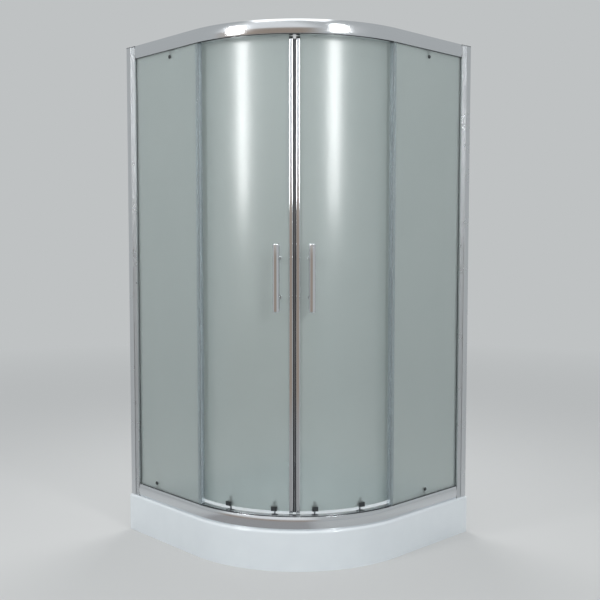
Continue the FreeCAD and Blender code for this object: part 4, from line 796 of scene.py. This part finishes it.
# camera of the photograph: 600 x 600 pixels
view = {"place": (2.6806, -2.5353, 1.2155), "heading": (-0.72480, 0.68896), "pitch": -0.0665, "roll": 0.0005,
        "lens": 53.593}


def placeCamera():
    data = bpy.data.cameras.new("photoCamera")
    data.lens = view["lens"]
    data.sensor_width = 36
    camera = bpy.data.objects.new("photoCamera", data)
    bpy.context.scene.collection.objects.link(camera)
    level = Vector((*view["heading"], 0)).normalized() * math.cos(view["pitch"])
    forward = Vector((level.x, level.y, math.sin(view["pitch"])))
    turn = forward.to_track_quat("-Z", "Y") @ Quaternion((0, 0, 1), view["roll"])
    camera.matrix_world = Matrix.Translation(view["place"]) @ turn.to_matrix().to_4x4()
    bpy.context.scene.camera = camera


# two tall soft boxes give the doors their upright highlights, one from above fills, and one behind
# reaches the basin
lamps = {
    "leftBox": {"azimuth": -92, "distance": 3.0, "height": 2.25, "aim": 2.25, "size": (0.5, 1.6),
                "power": 40},
    "rightBox": {"azimuth": -13, "distance": 3.0, "height": 2.25, "aim": 2.25, "size": (0.5, 1.6),
                 "power": 38},
    "topBox": {"azimuth": -50, "distance": 1.2, "height": 4.0, "aim": 1.0, "size": (2.6, 2.6), "power": 30},
    "basinBox": {"azimuth": 135, "distance": 1.2, "height": 2.6, "aim": 0.1, "size": (1.2, 1.2), "power": 40,
                 "unseen": True},
}
backdrop = {"seen": "#BFC2C3", "fill": "#DDE2E6", "fillStrength": 0.54, "floor": "#D2D2D1", "floorSeen": 0.5,
            "ahead": (0.342, -0.940, 0.0), "from": 0.68, "to": 0.85, "bright": "#F4F6F8",
            "warm": "#A3968B", "near": "#A5A5A6", "riseFrom": 0.03, "riseTo": 0.12, "nearTo": 2.6,
            "farFrom": 4.2, "floorHalf": 200, "fadeFrom": 1.2, "fadeTo": 7}


def placeLamps():
    for name, one in lamps.items():
        data = bpy.data.lights.new(name, "AREA")
        data.shape = "RECTANGLE"
        data.size, data.size_y = one["size"]
        data.energy = one["power"]
        lamp = bpy.data.objects.new(name, data)
        bpy.context.scene.collection.objects.link(lamp)
        turn = math.radians(one["azimuth"])
        reach = Vector((math.cos(turn), math.sin(turn), 0)) * one["distance"]
        lamp.location = (bowCentre.x + reach.x, bowCentre.y + reach.y, one["height"])
        aim = Vector((bowCentre.x, bowCentre.y, one["aim"])) - lamp.location
        lamp.rotation_euler = aim.to_track_quat("-Z", "Y").to_euler()
        if "unseen" in one:
            lamp.visible_camera = lamp.visible_glossy = lamp.visible_transmission = False


def eyeRays(tree):
    # 1 for rays that show the surroundings to the eye: seen straight, in a mirror or through glass
    path = addNode(tree, "ShaderNodeLightPath").outputs
    glossy = addNode(tree, "ShaderNodeMath", {"operation": "MAXIMUM"},
                     {0: path["Is Camera Ray"], 1: path["Is Glossy Ray"]}).outputs[0]
    return addNode(tree, "ShaderNodeMath", {"operation": "MAXIMUM"},
                   {0: glossy, 1: path["Is Transmission Ray"]}).outputs[0]


# painted reflection for chrome and polished bars: in a sector in front, glossy rays alone see bright
# above, warm low down, and grey on the near floor, while the camera sees the plain backdrop
def paintedReflectionFront(tree, heading):
    b = backdrop
    facing = addNode(tree, "ShaderNodeVectorMath", {"operation": "DOT_PRODUCT", 1: b["ahead"]}, {0: heading})
    front = addNode(tree, "ShaderNodeMapRange", {"From Min": b["from"], "From Max": b["to"]},
                    {"Value": facing.outputs["Value"]}).outputs["Result"]
    return addNode(tree, "ShaderNodeMath", {"operation": "MULTIPLY"},
                   {0: front, 1: addNode(tree, "ShaderNodeLightPath").outputs["Is Glossy Ray"]}).outputs[0]


def buildWorld():
    b = backdrop
    world = bpy.data.worlds.new("studio")
    bpy.context.scene.world = world
    world.use_nodes = True
    tree = world.node_tree
    tree.nodes.clear()
    heading = addNode(tree, "ShaderNodeTexCoord").outputs["Generated"]
    # painted reflection: glossy rays looking into the front sector see warm low down and bright above instead
    # of the plain grey
    mirrored = paintedReflectionFront(tree, heading)
    rise = addNode(tree, "ShaderNodeSeparateXYZ", {}, {"Vector": heading}).outputs["Z"]
    upper = addNode(tree, "ShaderNodeMapRange", {"From Min": b["riseFrom"], "From Max": b["riseTo"]},
                    {"Value": rise}).outputs["Result"]
    tone = addNode(tree, "ShaderNodeMix", {"data_type": "RGBA", 6: linear(b["seen"])},
                   {0: mirrored, 7: tint(tree, upper, b["warm"], b["bright"])}).outputs[2]
    fill = addNode(tree, "ShaderNodeBackground", {"Color": linear(b["fill"]), "Strength": b["fillStrength"]})
    seen = addNode(tree, "ShaderNodeBackground", {"Strength": 1}, {"Color": tone})
    mixed = addNode(tree, "ShaderNodeMixShader", {},
                    {0: eyeRays(tree), 1: fill.outputs[0], 2: seen.outputs[0]})
    addNode(tree, "ShaderNodeOutputWorld", {}, {"Surface": mixed.outputs[0]})


# plain pale floor: it keeps the shadow near the object and fades into the backdrop further out. In front it
# glows for glossy rays only, grey near and warm further out: a painted reflection
def buildFloor():
    b = backdrop
    work = bmesh.new()
    bmesh.ops.create_grid(work, x_segments=1, y_segments=1, size=b["floorHalf"])
    mesh = bpy.data.meshes.new("floor")
    work.to_mesh(mesh)
    work.free()
    floor = bpy.data.objects.new("floor", mesh)
    bpy.context.scene.collection.objects.link(floor)
    material, tree, surface, place = startMaterial("floorPlain", {
        "Base Color": linear(b["floor"]), "Roughness": 0.85, "Specular IOR Level": 0.2})
    heading = addNode(tree, "ShaderNodeVectorMath", {"operation": "NORMALIZE"}, {0: place}).outputs["Vector"]
    # painted reflection: in the front sector the floor glows grey near and warm further out, to glossy rays
    # only
    mirrored = paintedReflectionFront(tree, heading)
    reach = addNode(tree, "ShaderNodeVectorMath", {"operation": "LENGTH"}, {0: place}).outputs["Value"]
    fade = addNode(tree, "ShaderNodeMapRange",
                   {"From Min": b["fadeFrom"], "From Max": b["fadeTo"], "To Min": b["floorSeen"]},
                   {"Value": reach}).outputs["Result"]
    far = addNode(tree, "ShaderNodeMapRange", {"From Min": b["nearTo"], "From Max": b["farFrom"]},
                  {"Value": reach}).outputs["Result"]
    tone = addNode(tree, "ShaderNodeMix", {"data_type": "RGBA", 6: linear(b["seen"])},
                   {0: mirrored, 7: tint(tree, far, b["near"], b["warm"])}).outputs[2]
    glow = addNode(tree, "ShaderNodeEmission", {"Strength": 1}, {"Color": tone})
    share = addNode(tree, "ShaderNodeMath", {"operation": "MULTIPLY"}, {0: eyeRays(tree), 1: fade})
    share = addNode(tree, "ShaderNodeMath", {"operation": "MAXIMUM"}, {0: share.outputs[0], 1: mirrored})
    mixed = addNode(tree, "ShaderNodeMixShader", {},
                    {0: share.outputs[0], 1: surface.outputs[0], 2: glow.outputs[0]})
    output = next(node for node in tree.nodes if node.type == "OUTPUT_MATERIAL")
    tree.links.new(mixed.outputs[0], output.inputs["Surface"])
    mesh.materials.append(material)


placeCamera()
placeLamps()
buildWorld()
buildFloor()
bpy.context.scene.view_settings.view_transform = "Standard"
